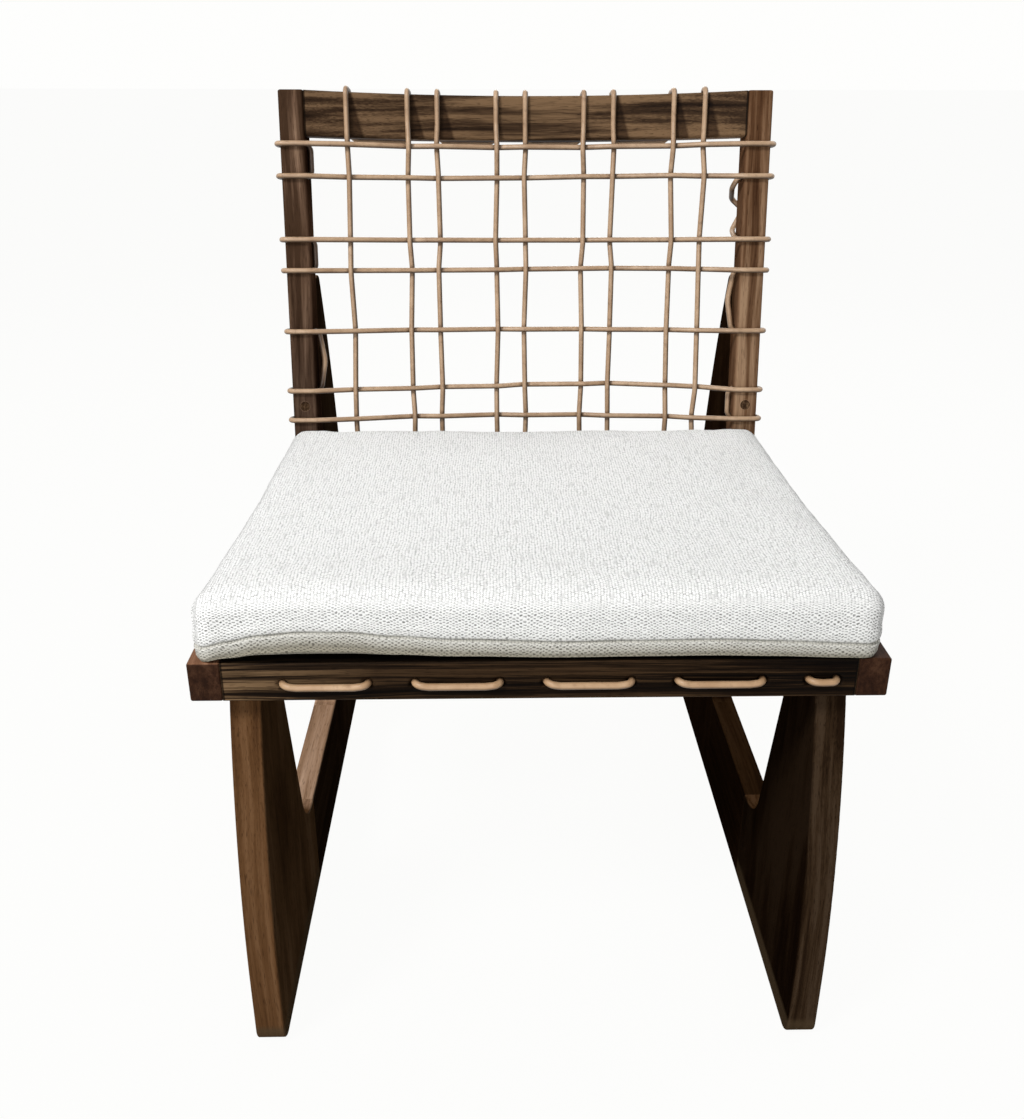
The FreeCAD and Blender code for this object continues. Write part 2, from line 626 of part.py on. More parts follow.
FRONT_CROTCH = crotch_radius(
    "dim.front_crotch_radius", "dim.front_leg_board_width - dim.front_leg_root_width",
    f"dim.front_leg_root_width - {LEG_FRONT} - dim.front_leg_top_width", "dim.seat_top - dim.runner_height",
)
REAR_CROTCH = crotch_radius(
    "dim.rear_crotch_radius", "dim.rear_leg_board_width - dim.rear_leg_root_width",
    f"{STILE_FOOT} - dim.frame_depth + dim.rear_leg_root_width", f"{RAIL_BOTTOM} - dim.runner_height",
)
for side in SIDES:
    place = (frame_left_face(side), TOE, "0")
    front_leg = board(
        f"front_leg_{side}_blank", "YZ_Plane", FRONT_LEG_OUTLINE,
        {6: (FRONT_ARC, 1), 8: ("dim.toe_radius", 1)}, "dim.frame_thickness", place,
    )
    round_corner(
        front_leg, f"front_leg_{side}_crotch", FRONT_CROTCH,
        "dim.front_leg_root_width", "dim.runner_height",
    )
    drilled = bored(
        f"front_leg_{side}_bored", front_leg,
        front_joint_holes[side] + [screw_holes[side, "front_leg_a"], screw_holes[side, "front_leg_b"]],
    )
    parts.append(rounded(f"front_leg_{side}", drilled, [(free_outline(side, FRONT_JOINT), ease)]))

    runner = box(
        f"runner_{side}_blank", (frame_left_face(side), FRONT_JOINT, "0"), "dim.frame_thickness",
        "dim.frame_depth - dim.front_leg_board_width - dim.rear_leg_board_width", "dim.runner_height",
    )
    drilled = bored(f"runner_{side}_bored", runner, front_joint_holes[side] + rear_joint_holes[side])
    parts.append(rounded(f"runner_{side}", drilled, [(lambda edge: runs_along(edge, "y"), ease)]))

    rear_leg = board(
        f"rear_leg_{side}_blank", "YZ_Plane", REAR_LEG_OUTLINE,
        {1: ("dim.heel_radius", 1), 3: (REAR_ARC, 1)}, "dim.frame_thickness", place,
    )
    round_corner(
        rear_leg, f"rear_leg_{side}_crotch", REAR_CROTCH,
        "dim.frame_depth - dim.rear_leg_root_width", "dim.runner_height",
    )
    round_corner(rear_leg, f"rear_leg_{side}_top", "dim.rear_leg_top_round", REAR_TOP_BACK, "dim.rear_leg_top")
    drilled = bored(
        f"rear_leg_{side}_bored", rear_leg,
        rear_joint_holes[side] + [screw_holes[side, "rear_leg_a"], screw_holes[side, "rear_leg_b"]]
        + [world_copy(f"rear_leg_{side}_screw_hole", stile_screw_holes[side])],
    )
    parts.append(rounded(f"rear_leg_{side}", drilled, [(free_outline(side, REAR_JOINT), ease)]))

# Back: stiles and curved rails, made upright and then leaned
STILE_LOW = "(-dim.rail_height / cos(dim.stile_lean))"
back_round = size("back_round")
for side in SIDES:
    blank = box(
        f"back_stile_{side}_blank", (frame_left_face(side), "0", STILE_LOW),
        "dim.frame_thickness", "dim.stile_depth", f"dim.back_length - {STILE_LOW}",
    )
    foot_screw_hole = upright_copy(f"stile_foot_screw_hole_{side}", screw_holes[side, "stile"])
    drilled = bored(f"back_stile_{side}_bored", blank, stile_holes[side] + [foot_screw_hole])
    left_face = number(frame_left_face(side))
    faces = (left_face, left_face + size("frame_thickness"))
    hole_rims = [(lambda edge, face=face: is_rim(edge, "x", face) and edge.Curve.Center.y > 0
                  and abs(edge.Curve.Radius - number(HOLE_RADIUS)) < 0.01, rim) for face in faces]
    stile = rounded(f"back_stile_{side}", drilled, hole_rims + [
        (lambda edge: runs_along(edge, "z") and edge.BoundBox.YMax < 0.01, back_round),
        (lambda edge: lies_at(edge, "z", size("back_length")), ease),
    ])
    parts.append(lean_with_back(stile))


def curved_rail(name, low, height, thickness, holes, mouth):
    """Rail between the stiles that curves in, with a lacing hole's mouth in one of its flat faces."""
    corners = [
        (f"(-{FRAME_IN})", "0"), (FRAME_IN, "0"), (FRAME_IN, thickness), (f"(-{FRAME_IN})", thickness),
    ]
    blank = board(
        f"{name}_blank", "XY_Plane", corners, {0: (HOLLOW_RADIUS, -1), 2: (HOLLOW_RADIUS, 1)},
        height, ("0", "0", low),
    )
    drilled = bored(f"{name}_bored", blank, holes)
    faces = (number(low), number(f"{low} + {height}"))
    long_edge = lambda edge: not edge.isClosed() and any(lies_at(edge, "z", face) for face in faces) \
        and edge.BoundBox.XLength > number(FRAME_IN)
    rail = rounded(name, drilled, [
        (lambda edge: is_rim(edge, "z", number(mouth)), size("tail_rim_round")),
        (long_edge, back_round),
    ])
    parts.append(lean_with_back(rail))


curved_rail(
    "back_top_rail", TOP_RAIL_BOTTOM, "dim.top_rail_height", "dim.top_rail_thickness",
    top_rail_holes, "dim.back_length",
)
curved_rail(
    "back_low_rail", "dim.low_rail_lift", "dim.low_rail_height", "dim.low_rail_thickness",
    low_rail_holes, "dim.low_rail_lift",
)

# Fasteners, each kind one group
for label, members, leaning in (
    ("seat_dowels", seat_dowels, False),
    ("runner_dowels", runner_dowels, False),
    ("back_dowels", back_dowels, True),
    ("frame_screws", frame_screws, False),
    ("stile_screws", stile_screws, True),
    ("stile_plugs", plugs, True),
):
    fasteners = group(label + "_set", members)
    fasteners.Label = label
    parts.append(lean_with_back(fasteners) if leaning else fasteners)


# Leather cords: straight runs joined by tangent arcs
def cord_wire(corners):
    """Wire through corners, each with the bend that it gets where its runs are long enough."""
    edges = []
    here = corners[0][0]
    for (before, _), (corner, bend), (after, _) in zip(corners, corners[1:], corners[2:]):
        arriving = (corner - before).normalize()
        leaving = (after - corner).normalize()
        half_turn = arriving.getAngle(leaving) / 2
        if half_turn < 1e-5:
            continue
        room = min((corner - here).Length - 1e-4, (after - corner).Length / 2)
        radius = min(bend, room / math.tan(half_turn))
        reach = radius * math.tan(half_turn)
        start = corner - arriving * reach
        end = corner + leaving * reach
        inward = (leaving - arriving).normalize()
        middle = corner + inward * (radius / math.cos(half_turn) - radius)
        if (start - here).Length > 1e-6:
            edges.append(Part.LineSegment(here, start).toShape())
        edges.append(Part.Arc(start, middle, end).toShape())
        here = end
    edges.append(Part.LineSegment(here, corners[-1][0]).toShape())
    return Part.Wire(edges)


def cord(name, corners, diameter):
    """Round cord along a route, with its volume compared with its section times its length."""
    wire = cord_wire(corners)
    start = corners[0][0]
    section = Part.Wire(Part.makeCircle(diameter / 2, start, corners[1][0] - start))
    tube = wire.makePipeShell([section], True, False)
    expected = math.pi * diameter ** 2 / 4 * wire.Length
    print(f"{name}: length {wire.Length:.0f} mm, volume over section times length {tube.Volume / expected:.4f}")
    feature = doc.addObject("Part::Feature", name)
    feature.Label = name
    feature.Shape = tube
    parts.append(feature)
    return feature


radius = size("cord_diameter") / 2
stand = number(HOLE_RADIUS)
lift = radius + size("cord_clearance") / 2
flat = size("crossing_flat")
weave_bend = size("crossing_bend")
wrap_bend = back_round + stand
hole_bend = rim + stand
tail_bend = size("tail_rim_round") + stand


def row_is_in_front(row, column):
    """Plain weave: the first row passes in front of the first column, and so on by turns."""
    return (row + column) % 2 == 0


def crossing(row, column):
    """Place of a crossing seen from the front: the columns waver a little, some rows are pushed up."""
    across = columns[column] + size("column_waver") * math.sin(1.9 * row + 2.3 * column)
    push = ROW_PUSHES[row] * math.exp(-((column - 6) / 2.6) ** 2)
    return across, rows[row] + push


def crossing_depth(row, across):
    """Depth midway between the two cords of a crossing; beside the top rail it lies further forward."""
    forward = lift if row == 0 else 0
    return hollow(across) - stand - forward


def column_corners(column, upward):
    """Corners of one column from rail to rail, over and under the rows, from the lower end to the upper."""
    approach = size("rail_approach")
    on_rail = hollow(columns[column]) - stand
    corners = [(Vector(columns[column], on_rail, number(LOW_RAIL_TOP) + approach), weave_bend)]
    for row in range(len(rows) - 1, -1, -1):
        across, height = crossing(row, column)
        shift = lift if row_is_in_front(row, column) else -lift
        for along in (-flat, flat):
            corners.append((Vector(across, crossing_depth(row, across) + shift, height + along), weave_bend))
    corners.append((Vector(columns[column], on_rail, number(TOP_RAIL_BOTTOM) + 2 * approach), weave_bend))
    return corners if upward else corners[::-1]


def rail_turn(first, second, edge_height, link_height, thickness):
    """Corners of the cord over a back rail's edge, along behind it and back over the edge."""
    gap = abs(columns[second] - columns[first])
    bulge = gap ** 2 / (8 * number(HOLLOW_RADIUS))
    fronts = [hollow(columns[column]) - stand for column in (first, second)]
    backs = [hollow(columns[column]) + thickness + stand + bulge for column in (first, second)]
    link_bend = size("link_bend")
    return [
        (Vector(columns[first], fronts[0], edge_height), wrap_bend),
        (Vector(columns[first], backs[0], edge_height), wrap_bend),
        (Vector(columns[first], backs[0], link_height), link_bend),
        (Vector(columns[second], backs[1], link_height), link_bend),
        (Vector(columns[second], backs[1], edge_height), wrap_bend),
        (Vector(columns[second], fronts[1], edge_height), wrap_bend),
    ]


def column_route():
    """One cord up and down all columns, with both ends tucked into the rails."""
    over = size("back_length") + stand
    under = size("low_rail_lift") - stand
    top_link = number(TOP_RAIL_BOTTOM)
    low_link = number(LOW_RAIL_TOP)
    start_depth = hollow(columns[0]) + size("low_rail_thickness") / 2
    end_depth = hollow(columns[-1]) + size("top_rail_thickness") / 2
    corners = [
        (Vector(columns[0], start_depth, size("low_rail_lift") + TAIL_DEPTH), 0),
        (Vector(columns[0], start_depth, under), tail_bend),
        (Vector(columns[0], hollow(columns[0]) - stand, under), wrap_bend),
    ]
    for column in range(len(columns)):
        upward = column % 2 == 0
        corners += column_corners(column, upward)
        if column == len(columns) - 1:
            break
        if upward:
            corners += rail_turn(column, column + 1, over, top_link, size("top_rail_thickness"))
        else:
            corners += rail_turn(column, column + 1, under, low_link, size("low_rail_thickness"))
    corners += [
        (Vector(columns[-1], hollow(columns[-1]) - stand, over), wrap_bend),
        (Vector(columns[-1], end_depth, over), tail_bend),
        (Vector(columns[-1], end_depth, size("back_length") - TAIL_DEPTH), 0),
    ]
    return corners


def row_corners(row, sign):
    """Corners of one row from the side with that sign to the other, over and under the columns."""
    height = rows[row]
    edge = number(FRAME_IN) + back_round / 2
    outside = number(RAIL_IN) + stand
    hole = size("stile_depth") / 2
    corners = [
        (Vector(sign * outside, hole, height), hole_bend),
        (Vector(sign * outside, -stand, height), wrap_bend),
        (Vector(sign * edge, -stand, height), weave_bend),
    ]
    order = range(len(columns)) if sign < 0 else range(len(columns) - 1, -1, -1)
    for column in order:
        middle, crossing_height = crossing(row, column)
        shift = -lift if row_is_in_front(row, column) else lift
        for along in (-flat, flat):
            across = middle - sign * along
            corners.append((Vector(across, crossing_depth(row, across) + shift, crossing_height), weave_bend))
    return corners + [
        (Vector(-sign * edge, -stand, height), weave_bend),
        (Vector(-sign * outside, -stand, height), wrap_bend),
        (Vector(-sign * outside, hole, height), hole_bend),
    ]


def hidden_link(sign, inside, hole, top, bottom):
    """Corners of the link that bows out below its upper row and passes behind the stile."""
    bow = size("link_bow")
    fall = size("link_hook")
    behind = size("stile_depth") + 2 * stand
    hidden = inside + size("link_hidden")
    return [
        (Vector(sign * (inside - bow), hole + bow / 2, top - fall), hole_bend),
        (Vector(sign * (inside - bow / 3), behind, top - 2 * fall), hole_bend),
        (Vector(sign * hidden, behind, (top + bottom) / 2), hole_bend),
        (Vector(sign * inside, behind, bottom + fall), hole_bend),
    ]


def row_route():
    """One cord through all rows, linked along the inner sides of the stiles."""
    hole = size("stile_depth") / 2
    inside = number(FRAME_IN) - stand
    tail = number(RAIL_IN) - TAIL_DEPTH
    slack_from = 1.5 * number(ROW_PITCH)
    sign = 1
    corners = [(Vector(sign * tail, hole, rows[0]), 0)]
    for row in range(len(rows)):
        corners += row_corners(row, sign)
        sign = -sign
        if row == len(rows) - 1:
            break
        corners.append((Vector(sign * inside, hole, rows[row]), hole_bend))
        if row == ROW_BEFORE_HIDDEN_LINK:
            corners += hidden_link(sign, inside, hole, rows[row], rows[row + 1])
        elif rows[row] - rows[row + 1] > slack_from:
            slack = Vector(sign * (inside - size("link_bow")), hole, (rows[row] + rows[row + 1]) / 2)
            corners.append((slack, 2 * weave_bend))
        corners.append((Vector(sign * inside, hole, rows[row + 1]), hole_bend))
    return corners + [(Vector(sign * tail, hole, rows[-1]), 0)]


def hanging(corners, front):
    """A route with slack in each stitch that lies on the front rail."""
    route = [corners[0]]
    for (begin, _), (end, bend) in zip(corners, corners[1:]):
        if begin.y == front and end.y == front:
            run = end - begin
            fall = min(size("stitch_fall"), run.Length / 2)
            low = Vector(0, 0, -size("stitch_slack") * run.Length / size("seat_stitch"))
            route.append((begin + run * (fall / run.Length) + low, bend))
            if fall < run.Length / 2:
                route.append((end - run * (fall / run.Length) + low, bend))
        route.append((end, bend))
    return route


def seat_route():
    """One cord back and forth through the front and rear rails, from its short stitch at the right."""
    seat_stand = number(SEAT_HOLE_RADIUS)
    bend = rim + seat_stand
    height = number(SEAT_LACING)
    front = number(SEAT_FRONT) - seat_stand
    rear = number(f"{REAR_RAIL_FRONT} + dim.rear_rail_thickness") + seat_stand
    corners = [
        (Vector(seat_tail, number(SEAT_FRONT) + TAIL_DEPTH, height), 0),
        (Vector(seat_tail, front, height), bend),
    ]
    at_front = True
    for across in reversed(seat_columns):
        corners.append((Vector(across, front if at_front else rear, height), bend))
        at_front = not at_front
        last = across == seat_columns[0]
        if not last:
            corners.append((Vector(across, front if at_front else rear, height), bend))
    inside_rear_hole = number(f"{REAR_RAIL_FRONT} + dim.tail_length")
    return hanging(corners + [(Vector(seat_columns[0], inside_rear_hole, height), 0)], front)


lean_with_back(cord("back_column_cord", column_route(), size("cord_diameter")))
lean_with_back(cord("back_row_cord", row_route(), size("cord_diameter")))
cord("seat_cord", seat_route(), size("seat_cord_diameter"))


# Cushion: outlines at several heights, drawn in between the corners, lofted into a crowned form
def cushion_outline(rise, inset):
    """Closed outline of the cushion at a height above the rails, set in from its largest outline."""
    height = size("seat_top") + size("cushion_clearance") + rise
    half = size("seat_width") / 2 - size("cushion_inset") - inset
    rear_half = half - size("cushion_taper")
    front = number(SEAT_FRONT) - size("cushion_overhang") + inset
    swell = size("cushion_rear_rise") * min(1, rise / size("cushion_side"))
    leaning = (height + swell - size("seat_top")) * math.tan(math.radians(size("stile_lean")))
    rear = number(STILE_FRONT) + leaning - size("cushion_clearance") - inset
    corner = size("cushion_corner")
    draw = size("cushion_draw")
    diagonal = corner * (1 - math.sqrt(0.5))
    edges = []
    middle = (front + rear) / 2
    drawn_half = (half + rear_half) / 2 - draw
    sides = [
        ((-half + corner, front), (0, front + draw), (half - corner, front)),
        ((half, front + corner), (drawn_half, middle), (rear_half, rear - corner)),
        ((rear_half - corner, rear), (0, rear - draw), (-rear_half + corner, rear)),
        ((-rear_half, rear - corner), (-drawn_half, middle), (-half, front + corner)),
    ]
    rounds = [
        (half - diagonal, front + diagonal), (rear_half - diagonal, rear - diagonal),
        (-rear_half + diagonal, rear - diagonal), (-half + diagonal, front + diagonal),
    ]

    def on_outline(across, along):
        """A point of the outline, which slopes up towards the back."""
        return Vector(across, along, height + swell * (along - front) / (rear - front))

    for index, side_points in enumerate(sides):
        begin, drawn, end = [on_outline(*point) for point in side_points]
        following = on_outline(*sides[(index + 1) % 4][0])
        edges.append(Part.Arc(begin, drawn, end).toShape())
        edges.append(Part.Arc(end, on_outline(*rounds[index]), following).toShape())
    return Part.Wire(edges)


def cushion_form(name, skin):
    """Crowned cushion, smaller by the skin all round."""
    side = size("cushion_side")
    crown = size("cushion_crown")
    edge = size("cushion_edge")
    levels = [
        (0, 0.7 * edge), (0.06 * side, 0.3 * edge), (0.15 * side, 0.08 * edge), (0.4 * side, 0),
        (0.65 * side, 0.08 * edge), (0.8 * side, 0.3 * edge), (0.92 * side, 0.65 * edge), (side, 1.1 * edge),
        (side + 0.4 * crown, 2.8 * edge), (side + 0.7 * crown, 5 * edge), (side + 0.9 * crown, 8 * edge),
        (side + crown, 12 * edge),
    ]
    lowest, highest = levels[0][0] + skin, levels[-1][0] - skin
    squeeze = (highest - lowest) / levels[-1][0]
    wires = [cushion_outline(lowest + rise * squeeze, inset + skin) for rise, inset in levels]
    form = doc.addObject("Part::Feature", name)
    form.Shape = Part.makeLoft(wires, True, True)
    return form


cover = doc.addObject("Part::Cut", "cushion_cover_cut")
cover.Base = cushion_form("cushion_outside", 0)
cover.Tool = cushion_form("cushion_inside", size("cover_thickness"))
cover.Label = "cushion_cover"
parts.append(cover)
foam = cushion_form("cushion_foam", size("cover_thickness") + size("foam_clearance"))
foam.Label = "cushion_foam"
parts.append(foam)

doc.recompute()
for thing in doc.Objects:
    if "Invalid" in thing.State or "Error" in thing.State:
        raise RuntimeError(f"{thing.Label} failed: {thing.State}")
for piece in parts:
    if piece.Shape.isNull() or not piece.Shape.isValid() or not piece.Shape.Solids:
        raise RuntimeError(f"{piece.Label} has no valid solid")

os.makedirs("parts", exist_ok=True)
for piece in parts:
    piece.Shape.exportStep(f"parts/{piece.Label}.step")
    print(f"{piece.Label}: {len(piece.Shape.Solids)} solid(s), {piece.Shape.Volume / 1000:.1f} cm3")
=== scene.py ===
import math

import bmesh
import bpy
from mathutils import Matrix, Vector, kdtree, noise


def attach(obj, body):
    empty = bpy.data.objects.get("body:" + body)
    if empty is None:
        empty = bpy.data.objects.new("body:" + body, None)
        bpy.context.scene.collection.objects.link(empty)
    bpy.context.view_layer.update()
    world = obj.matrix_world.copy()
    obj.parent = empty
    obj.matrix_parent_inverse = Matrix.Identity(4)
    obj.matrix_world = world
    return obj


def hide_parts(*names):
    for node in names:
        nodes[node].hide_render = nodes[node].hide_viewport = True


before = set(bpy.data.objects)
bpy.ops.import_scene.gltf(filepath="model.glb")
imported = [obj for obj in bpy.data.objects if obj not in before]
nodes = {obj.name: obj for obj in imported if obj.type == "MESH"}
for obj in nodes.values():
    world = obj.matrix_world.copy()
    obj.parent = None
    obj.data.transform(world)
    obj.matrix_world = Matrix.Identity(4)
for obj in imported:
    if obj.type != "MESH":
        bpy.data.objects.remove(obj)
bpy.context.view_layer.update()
scene = bpy.context.scene
scene.view_settings.view_transform = "Standard"

# Camera: place, aim and lens found from the photograph's perspective
IMAGE_HEIGHT_PX = 1119
FOCAL_PX = 1116.36
SENSOR_MM = 36
PITCH_DOWN = math.radians(24.458)
YAW_RIGHT = math.radians(1.167)
ROLL = math.radians(0.134)
CAMERA_PLACE = Vector((-0.0417, -1.1297, 0.8803))

# Places of the chair that the pieces below need, in metres, and the lean of its back
BACK_LEAN = math.radians(9.64)
SEAT_FRONT_Y = -0.305
STILE_FRONT_Y = 0.120
SEAT_TOP_Z = 0.410


def add_camera():
    """Camera at the photograph's viewpoint."""
    level = Vector((math.sin(YAW_RIGHT), math.cos(YAW_RIGHT), 0))
    right = Vector((math.cos(YAW_RIGHT), -math.sin(YAW_RIGHT), 0))
    down = Vector((0, 0, -1))
    forward = level * math.cos(PITCH_DOWN) + down * math.sin(PITCH_DOWN)
    image_down = down * math.cos(PITCH_DOWN) - level * math.sin(PITCH_DOWN)
    x_axis = right * math.cos(ROLL) - image_down * math.sin(ROLL)
    y_axis = -(right * math.sin(ROLL) + image_down * math.cos(ROLL))
    data = bpy.data.cameras.new("photo_camera")
    data.sensor_width = SENSOR_MM
    data.sensor_fit = "AUTO"
    data.lens = FOCAL_PX / IMAGE_HEIGHT_PX * SENSOR_MM
    camera = bpy.data.objects.new("photo_camera", data)
    turn = Matrix((x_axis, y_axis, -forward)).transposed()
    camera.matrix_world = Matrix.Translation(CAMERA_PLACE) @ turn.to_4x4()
    scene.collection.objects.link(camera)
    scene.camera = camera


add_camera()

# Sockets of the Mix node: factor, first and second, for colours and for values
COLOUR_SOCKETS = (0, 6, 7)
VALUE_SOCKETS = (0, 2, 3)
COLOUR_OUTPUT = 2

# Rays that a shader sends out to find edges and near surfaces
RAY_SAMPLES = 4


# Node tree helpers, where a source is a node or one of its outputs
def output_of(source):
    """The output that a source stands for: a colour mix gives its colour, another node its first output."""
    if isinstance(source, bpy.types.NodeSocket):
        return source
    mixes_colours = source.bl_idname == "ShaderNodeMix" and source.data_type == "RGBA"
    return source.outputs[COLOUR_OUTPUT if mixes_colours else 0]


def set_inputs(tree, target, inputs):
    """Feeds a node's inputs, by name or number, with numbers, RGB or vector triples, or sources."""
    for key, value in inputs.items():
        socket = target.inputs[key]
        if isinstance(value, (int, float)):
            socket.default_value = value
        elif isinstance(value, tuple):
            socket.default_value = (*value, 1) if socket.type == "RGBA" else value
        else:
            tree.links.new(output_of(value), socket)


def add_node(tree, kind, inputs=None, **settings):
    """A node with its settings and its inputs."""
    made = tree.nodes.new(kind)
    for key, value in settings.items():
        setattr(made, key, value)
    set_inputs(tree, made, inputs or {})
    return made


def new_material(name):
    """Empty material with its tree, its main shader and its coordinates."""
    material = bpy.data.materials.new(name)
    material.use_nodes = True
    tree = material.node_tree
    return material, tree, tree.nodes["Principled BSDF"], add_node(tree, "ShaderNodeTexCoord")


def math_node(tree, operation, *values):
    """Math on one to three values, each a number or a source."""
    return add_node(tree, "ShaderNodeMath", dict(enumerate(values)), operation=operation)


def shifted(tree, start, pattern, reach):
    """A vector moved by a noise's colour times a reach along each axis."""
    inputs = {0: pattern.outputs["Color"], 1: reach, 2: start}
    return add_node(tree, "ShaderNodeVectorMath", inputs, operation="MULTIPLY_ADD")


def spread(tree, source, low, high):
    """Maps a value's low to high onto 0 to 1."""
    return add_node(tree, "ShaderNodeMapRange", {0: source, "From Min": low, "From Max": high})


def between(tree, source, low, high):
    """Maps a value's 0 to 1 onto low to high."""
    return add_node(tree, "ShaderNodeMapRange", {0: source, "To Min": low, "To Max": high})


def mix_colour(tree, factor, first, second, blend="MIX"):
    """Mixes two colours by a factor."""
    inputs = dict(zip(COLOUR_SOCKETS, (factor, first, second)))
    return add_node(tree, "ShaderNodeMix", inputs, data_type="RGBA", blend_type=blend)


def mix_value(tree, factor, first, second):
    """Mixes two values by a factor."""
    inputs = dict(zip(VALUE_SOCKETS, (factor, first, second)))
    return add_node(tree, "ShaderNodeMix", inputs, data_type="FLOAT")


def noise_at(tree, coords, scale, detail, roughness=0.5):
    """Noise on coordinates, by its features per unit, its octaves of detail and their strength."""
    inputs = {"Vector": coords, "Scale": scale, "Detail": detail, "Roughness": roughness}
    return add_node(tree, "ShaderNodeTexNoise", inputs)


def bumps(tree, height, strength, distance):
    """Normal of a fine relief."""
    return add_node(tree, "ShaderNodeBump", {"Height": height, "Strength": strength, "Distance": distance})


def axis_of(tree, place, source, axis):
    """One axis of a surface's Normal or of its Object coordinates."""
    return add_node(tree, "ShaderNodeSeparateXYZ", {0: place.outputs[source]}).outputs[axis]


def face_turn(tree, place, axis):
    """How squarely a face looks along an axis, from 0 to 1."""
    return math_node(tree, "ABSOLUTE", axis_of(tree, place, "Normal", axis))


def facing(tree, place, axis, low, high, source="Normal"):
    """Where a face's normal, or its place, passes from low to high along an axis, as 0 to 1."""
    return spread(tree, axis_of(tree, place, source, axis), low, high)


# Ways in which a face can look, for facing()
RIGHT_FACES = ("X", 0.2, 0.9)
LEFT_FACES = ("X", -0.2, -0.9)
FRONT_FACES = ("Y", -0.3, -0.8)
UPWARD_FACES = ("Z", 0.2, 0.35)
NOT_REAR_FACES = ("Y", 0.3, -0.1)
UNDERNEATH = ("Z", 0.10, -0.70)
TO_THE_RIGHT = ("X", 0.15, 0.80)

# Grain of a board: its lean about X, and how its growth layers lie along X, Y and Z, 0 being its length
RAIL_ACROSS = (0, (0, 0.12, 1))
RAIL_DEEP = (0, (1, 0, 0.6))
BACK_STILE = (BACK_LEAN, (1, 0.15, 0))
LEG = (0, (1, 0.16, 0))
DOWEL_ACROSS = (0, (0, 1, 1))

# Patterns of the wood: features per metre across and along the grain, and octaves of detail
WANDER = (20, 5.0, 1)
STREAKS = (75, 2.4, 2)
BANDS = (300, 6, 3)
FIBRES = (1300, 22, 2)
PORES = (1400, 90, 0)
WANDER_REACH = 0.012
GRAIN_ROUGHNESS = 0.55
GRAIN_RANGE = (0.3, 0.7)
PORE_RANGE = (0.66, 0.76)
LEAST_FIBRE_LAYER = 0.5
SEED_STEP = (0.37, 0.23, 0.61)

# How the patterns show: shares of the tone, reach of its ramp, depth of the pores, roughness and relief
STREAK_SHARE = 0.55
BAND_SHARE = 0.45
RAMP_REACH = 0.34
PORE_SHARE = 0.5
PORE_TONE = 0.4
WOOD_ROUGHNESS = (0.42, 0.62)
WOOD_RELIEF = (0.2, 0.0005)

# Wear of the wood and painted light on it: edges lighter, partly as wear and partly as a painted highlight,
# scuffed feet, dark joints, and upward faces behind the toes of the legs that get a painted highlight on
# the left legs and painted shade on the right rear leg
EDGE_RADIUS = 0.0022
EDGE_TURN = (0.97, 0.75)
EDGE_LIGHT = 1.25
SCUFF_HEIGHTS = (0.026, 0.019)
SCUFF_TONE = (0.070, 0.046, 0.025)
JOINT_SHADE = (0.16, 0.15, 0.14)
BEHIND_TOE = ("Y", -0.25, -0.20)

# Painted shadows of the cords on the top rail, to the right of each cord, wider towards the rail's lower
# edge
CORD_SHADOW_TONE = (0.34, 0.31, 0.30)
SHADOW_SPREAD = 0.27
SHADOW_EDGE = 0.003

# Turns of a cord over the top rail: how deep their tops are searched, and the least gap between two
TURN_TOP = 0.004
TURN_GAP = 0.008


def stretched_noise(tree, coords, layers, across, along, detail, figure=1.0):
    """Noise drawn out along the grain, with figure times as many features across it."""
    scale = tuple(across * figure * layer if layer else along for layer in layers)
    scaled = add_node(tree, "ShaderNodeMapping", {"Vector": coords, "Scale": scale})
    return noise_at(tree, scaled, 1, detail, GRAIN_ROUGHNESS)


def worn_and_highlit_edges(tree):
    """1 along the sharp edges of a solid, 0 on its faces."""
    soft = add_node(tree, "ShaderNodeBevel", {"Radius": EDGE_RADIUS}, samples=RAY_SAMPLES)
    plain = add_node(tree, "ShaderNodeNewGeometry").outputs["Normal"]
    turn = add_node(tree, "ShaderNodeVectorMath", {0: soft, 1: plain}, operation="DOT_PRODUCT")
    return spread(tree, turn.outputs["Value"], *EDGE_TURN)


def cord_shadows(tree, place, cords):
    """1 in a slanting painted shadow to the right of each cord, on faces that look to the front."""
    rail = nodes["back_top_rail"]
    top = max((rail.matrix_world @ vertex.co).z for vertex in rail.data.vertices)
    across = axis_of(tree, place, "Object", "X")
    height = axis_of(tree, place, "Object", "Z")
    slanted = math_node(tree, "MULTIPLY_ADD", height, SHADOW_SPREAD, across)
    total = None
    for cord in cords:
        past = spread(tree, across, cord, cord + SHADOW_EDGE)
        limit = cord + SHADOW_SPREAD * top + SHADOW_EDGE
        wedge_shadow = math_node(tree, "MULTIPLY", past, spread(tree, slanted, limit + SHADOW_EDGE, limit))
        total = math_node(tree, "MAXIMUM", total, wedge_shadow) if total else wedge_shadow
    return math_node(tree, "MULTIPLY", total, facing(tree, place, *FRONT_FACES))


def column_places():
    """Where the cords of the back's columns cross the top rail, from the tops of their turns."""
    cord = nodes["back_column_cord"]
    points = [cord.matrix_world @ vertex.co for vertex in cord.data.vertices]
    top = max(point.z for point in points)
    across = sorted(point.x for point in points if point.z > top - TURN_TOP)
    groups = [[across[0]]]
    for place in across[1:]:
        if place - groups[-1][-1] > TURN_GAP:
            groups.append([])
        groups[-1].append(place)
    return [(group[0] + group[-1]) / 2 for group in groups]


